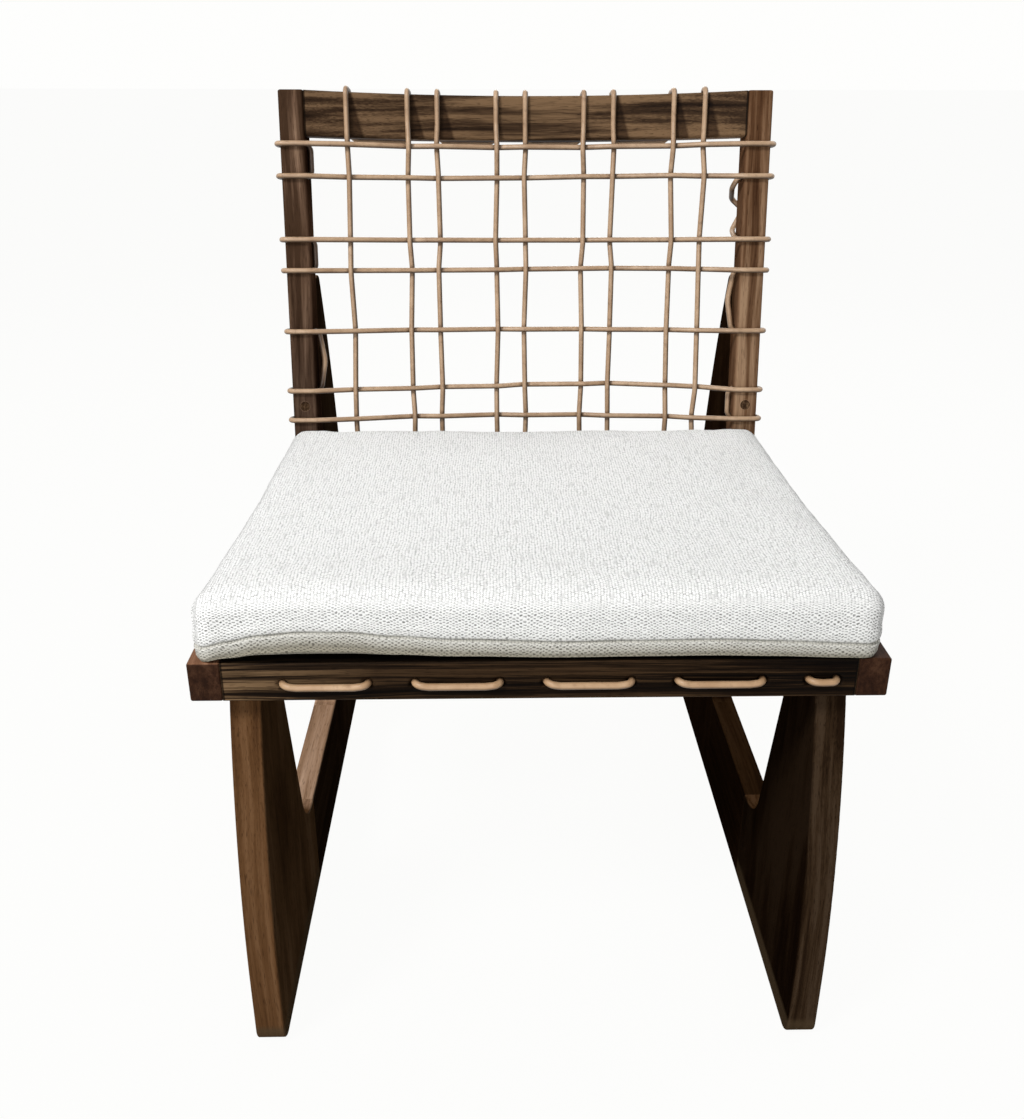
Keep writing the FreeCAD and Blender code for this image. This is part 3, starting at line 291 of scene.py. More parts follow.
def grain_tone(tree, coords, layers, figure, fine):
    """Tone of the streaks, bands and fibres, and the fibres and pores by themselves."""
    streaks = spread(tree, stretched_noise(tree, coords, layers, *STREAKS, figure), *GRAIN_RANGE)
    bands = spread(tree, stretched_noise(tree, coords, layers, *BANDS, figure), *GRAIN_RANGE)
    full = tuple(max(layer, LEAST_FIBRE_LAYER) if layer else 0 for layer in layers)
    fibres = stretched_noise(tree, coords, full, *FIBRES)
    pores = spread(tree, stretched_noise(tree, coords, full, *PORES), *PORE_RANGE)
    tone = math_node(tree, "ADD", math_node(tree, "MULTIPLY", streaks, STREAK_SHARE),
                     math_node(tree, "MULTIPLY", bands, BAND_SHARE))
    fibre_tone = math_node(tree, "MULTIPLY", math_node(tree, "SUBTRACT", fibres, 0.5), fine)
    return math_node(tree, "ADD", tone, fibre_tone), fibres, pores


def wood(name, grain, seed, tones, contrast=1.0, figure=1.0, fine=0.5, painted_light_and_shade=(), painted_slope_tone=None, edge=0.35,
         gloss=0.1, fade=None, foot=0.0, cords=(), joints=()):
    """Oiled dark hardwood: streaks, bands, fibres and pores along its grain, signs of wear, and painted
    light and shade by face, on edges and beside the cords.
    """
    dark, mid, light = tones
    lean, layers = grain
    material, tree, shader, place = new_material(name)
    turned = add_node(tree, "ShaderNodeMapping", {
        "Vector": place.outputs["Object"],
        "Rotation": (lean, 0, 0),
        "Location": tuple(step * seed for step in SEED_STEP),
    })
    wander = stretched_noise(tree, turned, layers, *WANDER)
    coords = shifted(tree, turned, wander, tuple(WANDER_REACH * layer for layer in layers))
    tone, fibres, pores = grain_tone(tree, coords, layers, figure, fine)
    ramp = add_node(tree, "ShaderNodeValToRGB", {0: tone})
    stops = ramp.color_ramp.elements
    stops[0].position = 0.5 - RAMP_REACH / contrast
    stops[0].color = (*dark, 1)
    stops[1].position = 0.5 + RAMP_REACH / contrast
    stops[1].color = (*light, 1)
    stops.new(0.5).color = (*mid, 1)

    pore_share = math_node(tree, "MULTIPLY", pores, PORE_SHARE)
    coloured = mix_colour(tree, pore_share, ramp, tuple(PORE_TONE * value for value in dark))
    # Painted shade and painted light by the way a face looks: darker inward faces, a darker front on the
    # right front leg, a darker top on the front rail, a lighter top on the left side rail
    for axis, low, high, tint in painted_light_and_shade:
        coloured = mix_colour(tree, facing(tree, place, axis, low, high), coloured, tint, "MULTIPLY")
    # Painted highlight on upward faces behind the toes of the left legs, painted shade there on the right
    # rear leg
    if painted_slope_tone:
        sloping = math_node(tree, "MULTIPLY", facing(tree, place, *UPWARD_FACES),
                            facing(tree, place, *NOT_REAR_FACES))
        slope_paint_mask = math_node(tree, "MULTIPLY", sloping, facing(tree, place, *BEHIND_TOE, "Object"))
        coloured = mix_colour(tree, slope_paint_mask, coloured, painted_slope_tone, "MULTIPLY")
    # Painted shadows of the back's column cords on the top rail
    if cords:
        coloured = mix_colour(tree, cord_shadows(tree, place, cords), coloured, CORD_SHADOW_TONE, "MULTIPLY")
    if foot:
        low_down = facing(tree, place, "Z", *SCUFF_HEIGHTS, "Object")
        coloured = mix_colour(tree, math_node(tree, "MULTIPLY", low_down, foot), coloured, SCUFF_TONE)
    if fade:
        axis, start, end, tint = fade
        reach = facing(tree, place, axis, start, end, "Object")
        coloured = mix_colour(tree, reach, coloured, tint, "MULTIPLY")
    # Edges lighter, partly as wear and partly as a painted highlight
    if edge:
        worn = math_node(tree, "MULTIPLY", worn_and_highlit_edges(tree), edge)
        coloured = mix_colour(tree, worn, coloured, tuple(EDGE_LIGHT * value for value in light))
    for axis, low, high in joints:
        joint = facing(tree, place, axis, low, high, "Object")
        coloured = mix_colour(tree, joint, coloured, JOINT_SHADE, "MULTIPLY")
    set_inputs(tree, shader, {
        "Base Color": coloured,
        "Roughness": between(tree, fibres, *WOOD_ROUGHNESS),
        "Specular IOR Level": gloss,
        "Normal": bumps(tree, fibres, *WOOD_RELIEF),
    })
    return material


# Leather: features per metre of its patterns, octaves of detail and their strength, and how they show
LEATHER_PATCHES = (38, 3, 0.6)
LEATHER_MARKS = (170, 3, 0.6)
LEATHER_GRAIN = (1400, 2, 0.6)
PATCH_RANGE = (0.35, 0.7)
MARK_RANGE = (0.55, 0.75)
MARK_SHARE = 0.5
LEATHER_ROUGHNESS = (0.32, 0.5)
LEATHER_SHINE = 0.45
LEATHER_RELIEF = (0.3, 0.0003)

# Shade of the leather where it turns away, and where it comes near another surface
AWAY_SHADE = (0.17, 0.145, 0.12)
TOUCH_REACH = 0.005
TOUCH_RANGE = (0.85, 0.4)
TOUCH_SHADE = (0.25, 0.21, 0.18)

# Inner side of the left stile, and depths behind its front between which the stile's shadow is painted on a
# cord
LEFT_STILE_SIDE = ("X", -0.234, -0.238)
STILE_SHADOW_DEPTHS = (0.002, 0.010)


def beside_left_stile(tree, place):
    """1 on the cord that lies behind the front of the left stile, at its inner side."""
    beside = facing(tree, place, *LEFT_STILE_SIDE, "Object")
    height = axis_of(tree, place, "Object", "Z")
    depth = axis_of(tree, place, "Object", "Y")
    leant = math_node(tree, "MULTIPLY_ADD", height, -math.tan(BACK_LEAN), depth)
    front = STILE_FRONT_Y - SEAT_TOP_Z * math.tan(BACK_LEAN)
    start, end = STILE_SHADOW_DEPTHS
    return math_node(tree, "MULTIPLY", beside, spread(tree, leant, front + start, front + end))


def leather(name, base, worn, deep, away, stile_shadow=None):
    """Round tan leather cord: fine grain, worn patches, marks, and painted shade where it turns away from
    the light, where it comes near another surface and in the left stile's shadow.
    """
    material, tree, shader, place = new_material(name)
    spot = place.outputs["Object"]
    patches = spread(tree, noise_at(tree, spot, *LEATHER_PATCHES), *PATCH_RANGE)
    marks = spread(tree, noise_at(tree, spot, *LEATHER_MARKS), *MARK_RANGE)
    grain = noise_at(tree, spot, *LEATHER_GRAIN)
    colour = mix_colour(tree, patches, base, worn)
    colour = mix_colour(tree, math_node(tree, "MULTIPLY", marks, MARK_SHARE), colour, deep)
    # Painted shade on faces that turn away from the light
    colour = mix_colour(tree, facing(tree, place, *away), colour, AWAY_SHADE, "MULTIPLY")
    # Painted contact shade where the cord comes near another surface
    touching = add_node(tree, "ShaderNodeAmbientOcclusion", {"Distance": TOUCH_REACH}, samples=RAY_SAMPLES)
    shadow = spread(tree, touching.outputs["AO"], *TOUCH_RANGE)
    colour = mix_colour(tree, shadow, colour, TOUCH_SHADE, "MULTIPLY")
    # Painted shadow of the left stile on the cord behind its front
    if stile_shadow:
        colour = mix_colour(tree, beside_left_stile(tree, place), colour, stile_shadow, "MULTIPLY")
    set_inputs(tree, shader, {
        "Base Color": colour,
        "Roughness": between(tree, grain, *LEATHER_ROUGHNESS),
        "Specular IOR Level": LEATHER_SHINE,
        "Normal": bumps(tree, grain, *LEATHER_RELIEF),
    })
    return material


# Blackened steel
SCRATCHES = (700, 3)
STEEL_DARK = (0.10, 0.10, 0.105)
STEEL_LIGHT = (0.24, 0.24, 0.25)
STEEL_ROUGHNESS = (0.28, 0.5)


def steel(name):
    """Blackened screw steel with fine scratches."""
    material, tree, shader, place = new_material(name)
    scratches = noise_at(tree, place.outputs["Object"], *SCRATCHES)
    set_inputs(tree, shader, {
        "Base Color": mix_colour(tree, scratches, STEEL_DARK, STEEL_LIGHT),
        "Roughness": between(tree, scratches, *STEEL_ROUGHNESS),
        "Metallic": 1.0,
    })
    return material


# Woven cloth: its columns run from front to back and down the sides, odd ones half a loop further
COLUMN_PITCH = 0.0027
LOOP_PITCH = 0.0030
LOOP_SHIFT = 0.3
CLOTH_SWAY = (16, 3, 0.6)
SWAY_REACH = 0.009
BESIDE_TURN = (0.6, 0.8)
BEHIND_TURN = {"From Min": 0.3, "From Max": 0.31, "To Min": 1, "To Max": -1}

# Gaps of the cloth: lines round the loops on flat faces, round pits on upright ones, long dashes on the top
LINE_RANGE = (0.37, 0.60)
PIT_NOISE = (170, 1)
PIT_SHIFT = 1.2
PIT_RANGE = (0.0, -0.62)
UPRIGHT_TURN = (0.80, 0.45)
OWN_DEPTH = (0.9, 0)
OWN_DEPTH_RANGE = (0.35, 0.65)
DEPTH_LIMITS = (0.6, 0.4)
DASH_STRETCH = (0.9, 0.16, 1)
DASH_RANGE = (0.56, 0.72)
DASH_SHARE = 0.5
GAP_SHARE = 0.92
FLAT_GAP_LOSS = -0.34

# Tones of the cloth above and below its seam, with painted shade near the seam, down the strip below it and
# in the seam's groove, and heights from the seam between which they change
YARN_PATCHES = (55, 4, 0.65)
UPPER_YARN = ((0.94, 0.94, 0.925), (0.97, 0.97, 0.96))
UPPER_GAP = (0.16, 0.16, 0.15)
LOWER_YARN = ((0.74, 0.73, 0.68), (0.86, 0.85, 0.80))
LOWER_GAP = (0.08, 0.074, 0.054)
NEAR_SEAM_SHADE = (0.87, 0.87, 0.855)
NEAR_SEAM_HEIGHT = 0.018
FOOT_SHADE = (0.42, 0.39, 0.325)
SEAM_GROOVE_SHADE = (0.76, 0.75, 0.72)
LOWER_RANGE = (-0.0002, -0.0010)
SEAM_GROOVE_FROM = (-0.0022, -0.0010)
SEAM_GROOVE_TO = (0.0012, 0.0)

# Surface of the cloth
CLOTH_ROUGHNESS = 0.92
CLOTH_SHINE = 0.15
CLOTH_SHEEN = 0.1
FUZZ = (1500, 1)
FUZZ_SHARE = 0.2
CLOTH_RELIEF = (0.6, 0.0010)


def cloth_places(tree, place):
    """Count of the cloth's columns across and of its loops along them, a little uneven."""
    sway = noise_at(tree, place.outputs["Object"], *CLOTH_SWAY)
    swayed = shifted(tree, place.outputs["Object"], sway, (SWAY_REACH, SWAY_REACH, SWAY_REACH))
    spot = add_node(tree, "ShaderNodeSeparateXYZ", {0: swayed}).outputs
    beside = spread(tree, face_turn(tree, place, "X"), *BESIDE_TURN)
    behind = add_node(tree, "ShaderNodeMapRange", {0: axis_of(tree, place, "Normal", "Y")} | BEHIND_TURN)
    drop = math_node(tree, "MULTIPLY_ADD", spot["Z"], behind, spot["Y"])
    across = math_node(tree, "DIVIDE", mix_value(tree, beside, spot["X"], spot["Y"]), COLUMN_PITCH)
    along = math_node(tree, "DIVIDE", mix_value(tree, beside, drop, spot["Z"]), LOOP_PITCH)
    return across, along


def upright_pits(tree, place, across, along):
    """Round pits for upright faces, from a lattice of waves that is shifted unevenly."""
    uneven = noise_at(tree, place.outputs["Object"], *PIT_NOISE).outputs["Color"]
    shifts = add_node(tree, "ShaderNodeSeparateXYZ", {0: uneven}).outputs

    def wave(count, axis, half_turns):
        moved = math_node(tree, "MULTIPLY_ADD", shifts[axis], PIT_SHIFT, count)
        return math_node(tree, "COSINE", math_node(tree, "MULTIPLY", moved, half_turns * math.pi))

    waves = math_node(tree, "MULTIPLY", wave(across, "X", 1), wave(along, "Y", 2))
    return spread(tree, waves, *PIT_RANGE)


def cloth_gaps(tree, place):
    """Depth of the gaps between the loops, and how dark they show, with painted shade making them darker on
    upright faces than on the top.
    """
    across, along = cloth_places(tree, place)
    flat = face_turn(tree, place, "Z")
    column = math_node(tree, "FLOOR", math_node(tree, "ADD", across, 0.5 - LOOP_SHIFT / 2))
    half_loop = math_node(tree, "MULTIPLY", math_node(tree, "PINGPONG", column, 1), 0.5)
    laid = add_node(tree, "ShaderNodeCombineXYZ", {0: across, 1: math_node(tree, "ADD", along, half_loop)})
    loops = add_node(tree, "ShaderNodeTexVoronoi", {"Vector": laid, "Scale": 1, "Randomness": LOOP_SHIFT},
                     feature="F1", voronoi_dimensions="2D")
    gap = mix_value(tree, spread(tree, flat, *UPRIGHT_TURN), spread(tree, loops, *LINE_RANGE),
                    upright_pits(tree, place, across, along))
    own_depth = spread(tree, noise_at(tree, laid, *OWN_DEPTH), *OWN_DEPTH_RANGE)
    least, more = DEPTH_LIMITS
    depth = math_node(tree, "MULTIPLY", gap, math_node(tree, "MULTIPLY_ADD", own_depth, more, least))
    drawn = add_node(tree, "ShaderNodeMapping", {"Vector": laid, "Scale": DASH_STRETCH})
    dash = spread(tree, noise_at(tree, drawn, 1, 1), *DASH_RANGE)
    flat_dash = math_node(tree, "MULTIPLY", math_node(tree, "MULTIPLY", dash, flat), DASH_SHARE)
    # Painted shade: the gaps show darker on upright faces than on flat ones
    share = math_node(tree, "MULTIPLY_ADD", flat, FLAT_GAP_LOSS, GAP_SHARE)
    return depth, math_node(tree, "MULTIPLY", math_node(tree, "MAXIMUM", depth, flat_dash), share)


def cloth(name):
    """Off-white pebbled cloth with grey gaps between its loops, beige below the seam, with painted shade
    towards the seam, down the strip below it and in the seam's groove.
    """
    material, tree, shader, place = new_material(name)
    depth, gaps = cloth_gaps(tree, place)
    patches = noise_at(tree, place.outputs["Object"], *YARN_PATCHES)
    from_seam = add_node(tree, "ShaderNodeAttribute", attribute_name="above_seam").outputs["Fac"]

    def by_height(start, end):
        return spread(tree, from_seam, start, end)

    yarn = mix_colour(tree, patches, *UPPER_YARN)
    # Painted shade on the cloth just above the seam, deepening towards it
    yarn = mix_colour(tree, by_height(NEAR_SEAM_HEIGHT, 0.0), yarn, NEAR_SEAM_SHADE, "MULTIPLY")
    lower_yarn = mix_colour(tree, patches, *LOWER_YARN)
    # Painted shade down the strip below the seam, deepest at its foot
    lower_yarn = mix_colour(tree, by_height(0.0, -SEAM_HEIGHT), lower_yarn, FOOT_SHADE, "MULTIPLY")
    upper_cloth = mix_colour(tree, gaps, yarn, UPPER_GAP)
    lower_cloth = mix_colour(tree, gaps, lower_yarn, LOWER_GAP)
    both = mix_colour(tree, by_height(*LOWER_RANGE), upper_cloth, lower_cloth)
    # Painted shade along the seam's groove
    seam_groove_shade = math_node(tree, "MULTIPLY", by_height(*SEAM_GROOVE_FROM), by_height(*SEAM_GROOVE_TO))
    fuzz = noise_at(tree, place.outputs["Object"], *FUZZ)
    relief = math_node(tree, "SUBTRACT", math_node(tree, "MULTIPLY", fuzz, FUZZ_SHARE), depth)
    set_inputs(tree, shader, {
        "Base Color": mix_colour(tree, seam_groove_shade, both, SEAM_GROOVE_SHADE, "MULTIPLY"),
        "Roughness": CLOTH_ROUGHNESS,
        "Specular IOR Level": CLOTH_SHINE,
        "Sheen Weight": CLOTH_SHEEN,
        "Normal": bumps(tree, relief, *CLOTH_RELIEF),
    })
    return material


# Tones of the wood, dark, middle and light, in linear colour
BROWN = ((0.050, 0.022, 0.009), (0.100, 0.047, 0.019), (0.155, 0.080, 0.037))
GREY_BROWN = ((0.0095, 0.0047, 0.0026), (0.043, 0.0237, 0.0127), (0.170, 0.102, 0.055))
WARM_BROWN = ((0.052, 0.028, 0.016), (0.132, 0.077, 0.048), (0.268, 0.170, 0.110))
GOLDEN = ((0.050, 0.021, 0.010), (0.150, 0.079, 0.041), (0.340, 0.215, 0.128))
REDDISH = ((0.018, 0.0065, 0.003), (0.035, 0.014, 0.0066), (0.060, 0.027, 0.014))
UMBER = ((0.007, 0.0035, 0.0018), (0.049, 0.028, 0.014), (0.245, 0.152, 0.079))
DOWEL_TONES = ((0.25, 0.15, 0.08), (0.40, 0.26, 0.14), (0.52, 0.37, 0.22))
# Painted highlight and painted shade for the upward faces behind the toes of the legs
SLOPE_HIGHLIGHT = (4.4, 5.7, 8.6)
SLOPE_SHADE = (0.28, 0.28, 0.28)

# Looks that several boards share, and those of single boards
LEG_LOOK = {"contrast": 0.8, "gloss": 0.0, "edge": 0.12}
# Legs and runners: their tints are painted shade on the inward faces, and on the front of the right front
# leg
FRONT_LEG_LEFT = LEG_LOOK | {
    "painted_light_and_shade": [(*RIGHT_FACES, (0.70, 0.78, 0.85))],
    "painted_slope_tone": SLOPE_HIGHLIGHT,
    "foot": 0.75,
}
FRONT_LEG_RIGHT = LEG_LOOK | {
    "contrast": 1.5,
    "painted_light_and_shade": [(*LEFT_FACES, (0.11, 0.12, 0.14)), (*FRONT_FACES, (0.34, 0.41, 0.52))],
    "foot": 0.6,
}
REAR_LEG_LEFT = LEG_LOOK | {"painted_light_and_shade": [(*RIGHT_FACES, (0.16, 0.18, 0.21))], "painted_slope_tone": SLOPE_HIGHLIGHT}
REAR_LEG_RIGHT = LEG_LOOK | {"painted_light_and_shade": [(*LEFT_FACES, (0.15, 0.15, 0.16))], "painted_slope_tone": SLOPE_SHADE}
STILE_LOOK = {"figure": 0.5, "fine": 0.3, "gloss": 0.0}
# Stiles: their tints are painted shade on the inward faces
STILE_LEFT = STILE_LOOK | {
    "contrast": 1.5,
    "painted_light_and_shade": [(*RIGHT_FACES, (0.42, 0.35, 0.31))],
    "fade": ("Z", 0.66, 0.54, (0.48, 0.48, 0.50)),
}
STILE_RIGHT = STILE_LOOK | {
    "contrast": 1.35,
    "painted_light_and_shade": [(*LEFT_FACES, (0.5, 0.42, 0.38))],
    "fade": ("Z", 0.62, 0.80, (0.70, 0.63, 0.58)),
}
RAIL_LOOK = {"gloss": 0.05}
# Painted highlight on the top face of the left side rail
SIDE_RAIL_LEFT = RAIL_LOOK | {"painted_light_and_shade": [("Z", 0.5, 0.9, (5.5, 6.3, 7.0))]}
FRONT_RAIL = {
    "contrast": 1.3,
    "figure": 1.8,
    "fine": 0.8,
    "edge": 0.8,
    "gloss": 0.03,
    "joints": [("X", -0.2698, -0.2706), ("X", 0.2698, 0.2706)],
    # Painted shadow of the cushion on the front rail's top face
    "painted_light_and_shade": [("Z", 0.80, 0.97, (0.15, 0.15, 0.15))],
    "fade": ("X", -0.31, -0.14, (0.185, 0.165, 0.15)),
}
BACK_LOOK = {"contrast": 1.45, "figure": 0.5, "fine": 0.35, "gloss": 0.03}
TOP_RAIL = BACK_LOOK | {
    "cords": column_places(),
    "joints": [("X", -0.2420, -0.2428), ("X", 0.2420, 0.2428)],
    "fade": ("X", -0.20, -0.04, (1.10, 1.10, 1.07)),
}

# Wooden nodes with their grain, the seed of their pattern, their tones and their look
WOOD_PIECES = {
    "side_rail_left": (RAIL_DEEP, 1.0, REDDISH, SIDE_RAIL_LEFT),
    "side_rail_right": (RAIL_DEEP, 2.3, REDDISH, RAIL_LOOK),
    "front_rail": (RAIL_ACROSS, 3.1, UMBER, FRONT_RAIL),
    "rear_rail": (RAIL_ACROSS, 4.2, UMBER, RAIL_LOOK),
    "front_leg_left": (LEG, 5.4, BROWN, FRONT_LEG_LEFT),
    "front_leg_right": (LEG, 6.7, BROWN, FRONT_LEG_RIGHT),
    "runner_left": (RAIL_DEEP, 7.1, BROWN, REAR_LEG_LEFT),
    "runner_right": (RAIL_DEEP, 8.6, BROWN, REAR_LEG_RIGHT),
    "rear_leg_left": (LEG, 9.3, BROWN, REAR_LEG_LEFT),
    "rear_leg_right": (LEG, 10.8, BROWN, REAR_LEG_RIGHT),
    "back_stile_left": (BACK_STILE, 11.2, WARM_BROWN, STILE_LEFT),
    "back_stile_right": (BACK_STILE, 12.5, GOLDEN, STILE_RIGHT),
    "back_top_rail": (RAIL_ACROSS, 13.9, GREY_BROWN, TOP_RAIL),
    "back_low_rail": (RAIL_ACROSS, 14.4, GREY_BROWN, BACK_LOOK),
    "stile_plugs": (RAIL_DEEP, 15.6, GREY_BROWN, {"edge": 0.0, "gloss": 0.0}),
    "seat_dowels": (DOWEL_ACROSS, 17.0, DOWEL_TONES, {}),
    "runner_dowels": (RAIL_DEEP, 17.0, DOWEL_TONES, {}),
    "back_dowels": (DOWEL_ACROSS, 17.0, DOWEL_TONES, {}),
}

# Tones of the leather: plain, worn and marked
BACK_TAN = ((0.35, 0.218, 0.125), (0.51, 0.348, 0.218), (0.15, 0.080, 0.039))
SEAT_TAN = ((0.40, 0.24, 0.125), (0.52, 0.34, 0.195), (0.24, 0.13, 0.06))
# Painted shade for the cord in the left stile's shadow
STILE_SHADOW_TONE = (0.20, 0.17, 0.15)


def dress(node, material):
    """Gives a CAD node its material."""
    piece = nodes[node]
    piece.data.materials.clear()
    piece.data.materials.append(material)


for node, (grain, seed, tones, look) in WOOD_PIECES.items():
    dress(node, wood("wood_" + node, grain, seed, tones, **look))
for node in ("frame_screws", "stile_screws"):
    dress(node, steel("steel_" + node))
dress("back_row_cord", leather("leather_rows", *BACK_TAN, UNDERNEATH, stile_shadow=STILE_SHADOW_TONE))
dress("back_column_cord", leather("leather_columns", *BACK_TAN, TO_THE_RIGHT))
dress("seat_cord", leather("leather_seat", *SEAT_TAN, UNDERNEATH))

# Form of the cushion, in metres; a rounding is its reach inward and its height
CUSHION_HALF_WIDTH = 0.2945
CUSHION_TAPER = 0.021
CUSHION_SHIFT_X = -0.0015
CUSHION_FRONT_Y = SEAT_FRONT_Y - 0.005
CUSHION_REAR_Y = STILE_FRONT_Y - 0.001
CUSHION_BOTTOM_Z = SEAT_TOP_Z + 0.0008
CUSHION_HEIGHT = 0.057
SEAM_HEIGHT = 0.0140
CORNER_ROUND = 0.021
TOP_ROUND = Vector((0.019, 0.017))
FOOT_ROUND = Vector((0.005, 0.005))
REAR_RISE = 0.013
FOOT_DRAW = 0.004
SIDE_DRAW = 0.003
DRAW_POWER = 6

# Mesh of the cushion: steps near the edges and between them, and heights of its rings
FINE_STEP = 0.0026
COARSE_STEP = 0.005
FINE_MARGIN = 0.026
FOOT_STEP = 0.00125
FOOT_STEPS = 5
BELOW_SEAM = [0.0075, 0.010]
NEAR_SEAM = [0.0006, 0.0013, 0.0022, 0.0034]
ABOVE_SEAM = [0.0225, 0.025, 0.028, 0.031, 0.034, 0.037]
TOP_STEP = 0.002
TOP_STEPS = 8

# How far the front lower edge stands off the front rail at places across, and how far back that reaches
FRONT_LIFTS = ((-0.29, 0.000), (-0.262, 0.0070), (-0.235, 0.0130), (-0.20, 0.0160), (-0.165, 0.0155),
               (-0.12, 0.0105), (-0.07, 0.0065), (0.02, 0.0032), (0.08, 0.0042), (0.15, 0.0050),
               (0.20, 0.0035), (0.26, 0.001), (0.29, 0.000))
LIFT_REACH = 0.11
LIFT_REACH_BELOW = 0.026
TOP_LIFT_LOSS = 0.7

# Swelling of the cover: a simulation on a coarse copy, and how its moves are passed on
VOXEL_SIZE = 0.006
COVER_SETTINGS = {
    "quality": 5,
    "mass": 0.3,
    "tension_stiffness": 25,
    "compression_stiffness": 25,
    "bending_stiffness": 2,
    "use_pressure": True,
    "uniform_pressure_force": 4,
}
COVER_FRAMES = 20
NEAR_COUNT = 6
NEAR_DISTANCE = 0.001
SWELL_CAP = 0.005
FULL_SWELL_HEIGHT = 0.014

# Seam: size, height above the seam and width of its groove and of the swellings beside it
GROOVE = (0.0026, 0.0, 0.0010)
RIDGE = (0.0010, -0.0026, 0.0014)
PILLOW = (0.0016, 0.0065, 0.0045)
PUCKER_SHARE = 0.5
PUCKER_SCALE = 90
SIDE_TURN = 0.3
UNDERSIDE_TURN = -0.5
UNEVENNESS = ((0.0011, 14), (0.0006, 38))


def edge_steps(length):
    """Places along a length, close together near both ends."""
    fine_count = int(FINE_MARGIN / FINE_STEP)
    steps = [index * FINE_STEP for index in range(fine_count)]
    middle = length - 2 * FINE_MARGIN
    count = max(1, round(middle / COARSE_STEP))
    steps += [FINE_MARGIN + middle * index / count for index in range(count + 1)]
    return steps + [length - step for step in reversed(steps[:fine_count])]


def height_steps():
    """Heights of the cushion's rings, close together at the seam and at the rounded edges."""
    steps = [FOOT_STEP * index for index in range(FOOT_STEPS)] + BELOW_SEAM
    steps += [SEAM_HEIGHT - gap for gap in reversed(NEAR_SEAM)]
    steps += [SEAM_HEIGHT]
    steps += [SEAM_HEIGHT + gap for gap in NEAR_SEAM]
    steps += ABOVE_SEAM
    return steps + [CUSHION_HEIGHT - TOP_STEP * index for index in range(TOP_STEPS, -1, -1)]


def round_off(point, half):
    """A point of a plain block moved onto the block with rounded corners and edges."""
    plan = Vector((abs(point.x), abs(point.y)))
    height = abs(point.z)
    to_side = half.x - plan.x
    to_end = half.y - plan.y
    inner = Vector((max(CORNER_ROUND - to_side, 0), max(CORNER_ROUND - to_end, 0)))
    if inner.x and inner.y:
        outward = inner.normalized()
        plan = plan - inner + outward * max(inner)
    else:
        outward = Vector((1, 0)) if to_side < to_end else Vector((0, 1))
    size = TOP_ROUND if point.z > 0 else FOOT_ROUND
    level = 1 - min(to_side, to_end) / size.x
    upright = 1 - (half.z - height) / size.y
    if level > 0 and upright > 0:
        share = max(level, upright) / math.hypot(level, upright)
        plan -= outward * size.x * level * (1 - share)
        height -= size.y * upright * (1 - share)
    rounded = (plan.x, plan.y, height)
    return Vector([math.copysign(value, sign) for value, sign in zip(rounded, point)])


def bend_block(point, half):
    """Tapers, draws in and leans a rounded block, and sets it on the seat."""
    along = (point.y + half.y) / (2 * half.y)
    height = point.z + half.z
    across = point.x * (1 - CUSHION_TAPER * along / half.x)
    side = abs(point.x / half.x) ** DRAW_POWER
    end = abs(point.y / half.y) ** DRAW_POWER
    between_ends = 1 - (2 * along - 1) ** 2
    between_sides = 1 - (point.x / half.x) ** 2
    across -= math.copysign(SIDE_DRAW * side * between_ends, point.x)
    depth = point.y - math.copysign(SIDE_DRAW * end * between_sides, point.y)
    height += REAR_RISE * along * height / CUSHION_HEIGHT
    leaning = height * math.tan(BACK_LEAN) * along
    return Vector((across, CUSHION_FRONT_Y + half.y + depth + leaning, CUSHION_BOTTOM_Z + height))


def cushion_mesh():
    """Closed block grid bent into the cushion's form, still without its seam."""
    depth = CUSHION_REAR_Y - CUSHION_FRONT_Y
    half = Vector((CUSHION_HALF_WIDTH, depth / 2, CUSHION_HEIGHT / 2))
    xs = edge_steps(2 * half.x)
    ys = edge_steps(depth)
    zs = height_steps()
    last = (len(xs) - 1, len(ys) - 1, len(zs) - 1)
    mesh = bmesh.new()
    grid = {}

    def corner(i, j, k):
        if (i, j, k) not in grid:
            block = Vector((xs[i] - half.x, ys[j] - half.y, zs[k] - half.z))
            grid[i, j, k] = mesh.verts.new(bend_block(round_off(block, half), half))
        return grid[i, j, k]

    def sheet(first, second, place, flip):
        for a in range(last[first]):
            for b in range(last[second]):
                loop = []
                for da, db in ((0, 0), (1, 0), (1, 1), (0, 1)):
                    index = [place, place, place]
                    index[first] = a + da
                    index[second] = b + db
                    loop.append(corner(*index))
                mesh.faces.new(loop[::-1] if flip else loop)

    for place, flip in ((0, True), (last[2], False)):
        sheet(0, 1, place, flip)
    for place, flip in ((0, False), (last[1], True)):
        sheet(0, 2, place, flip)
    for place, flip in ((0, True), (last[0], False)):
        sheet(1, 2, place, flip)
    return mesh


def new_piece(name, mesh, material):
    """Object from a bmesh, shaded smooth."""
    data = bpy.data.meshes.new(name)
    mesh.to_mesh(data)
    mesh.free()
    for face in data.polygons:
        face.use_smooth = True
    data.materials.append(material)
    piece = bpy.data.objects.new(name, data)
    scene.collection.objects.link(piece)
    return piece


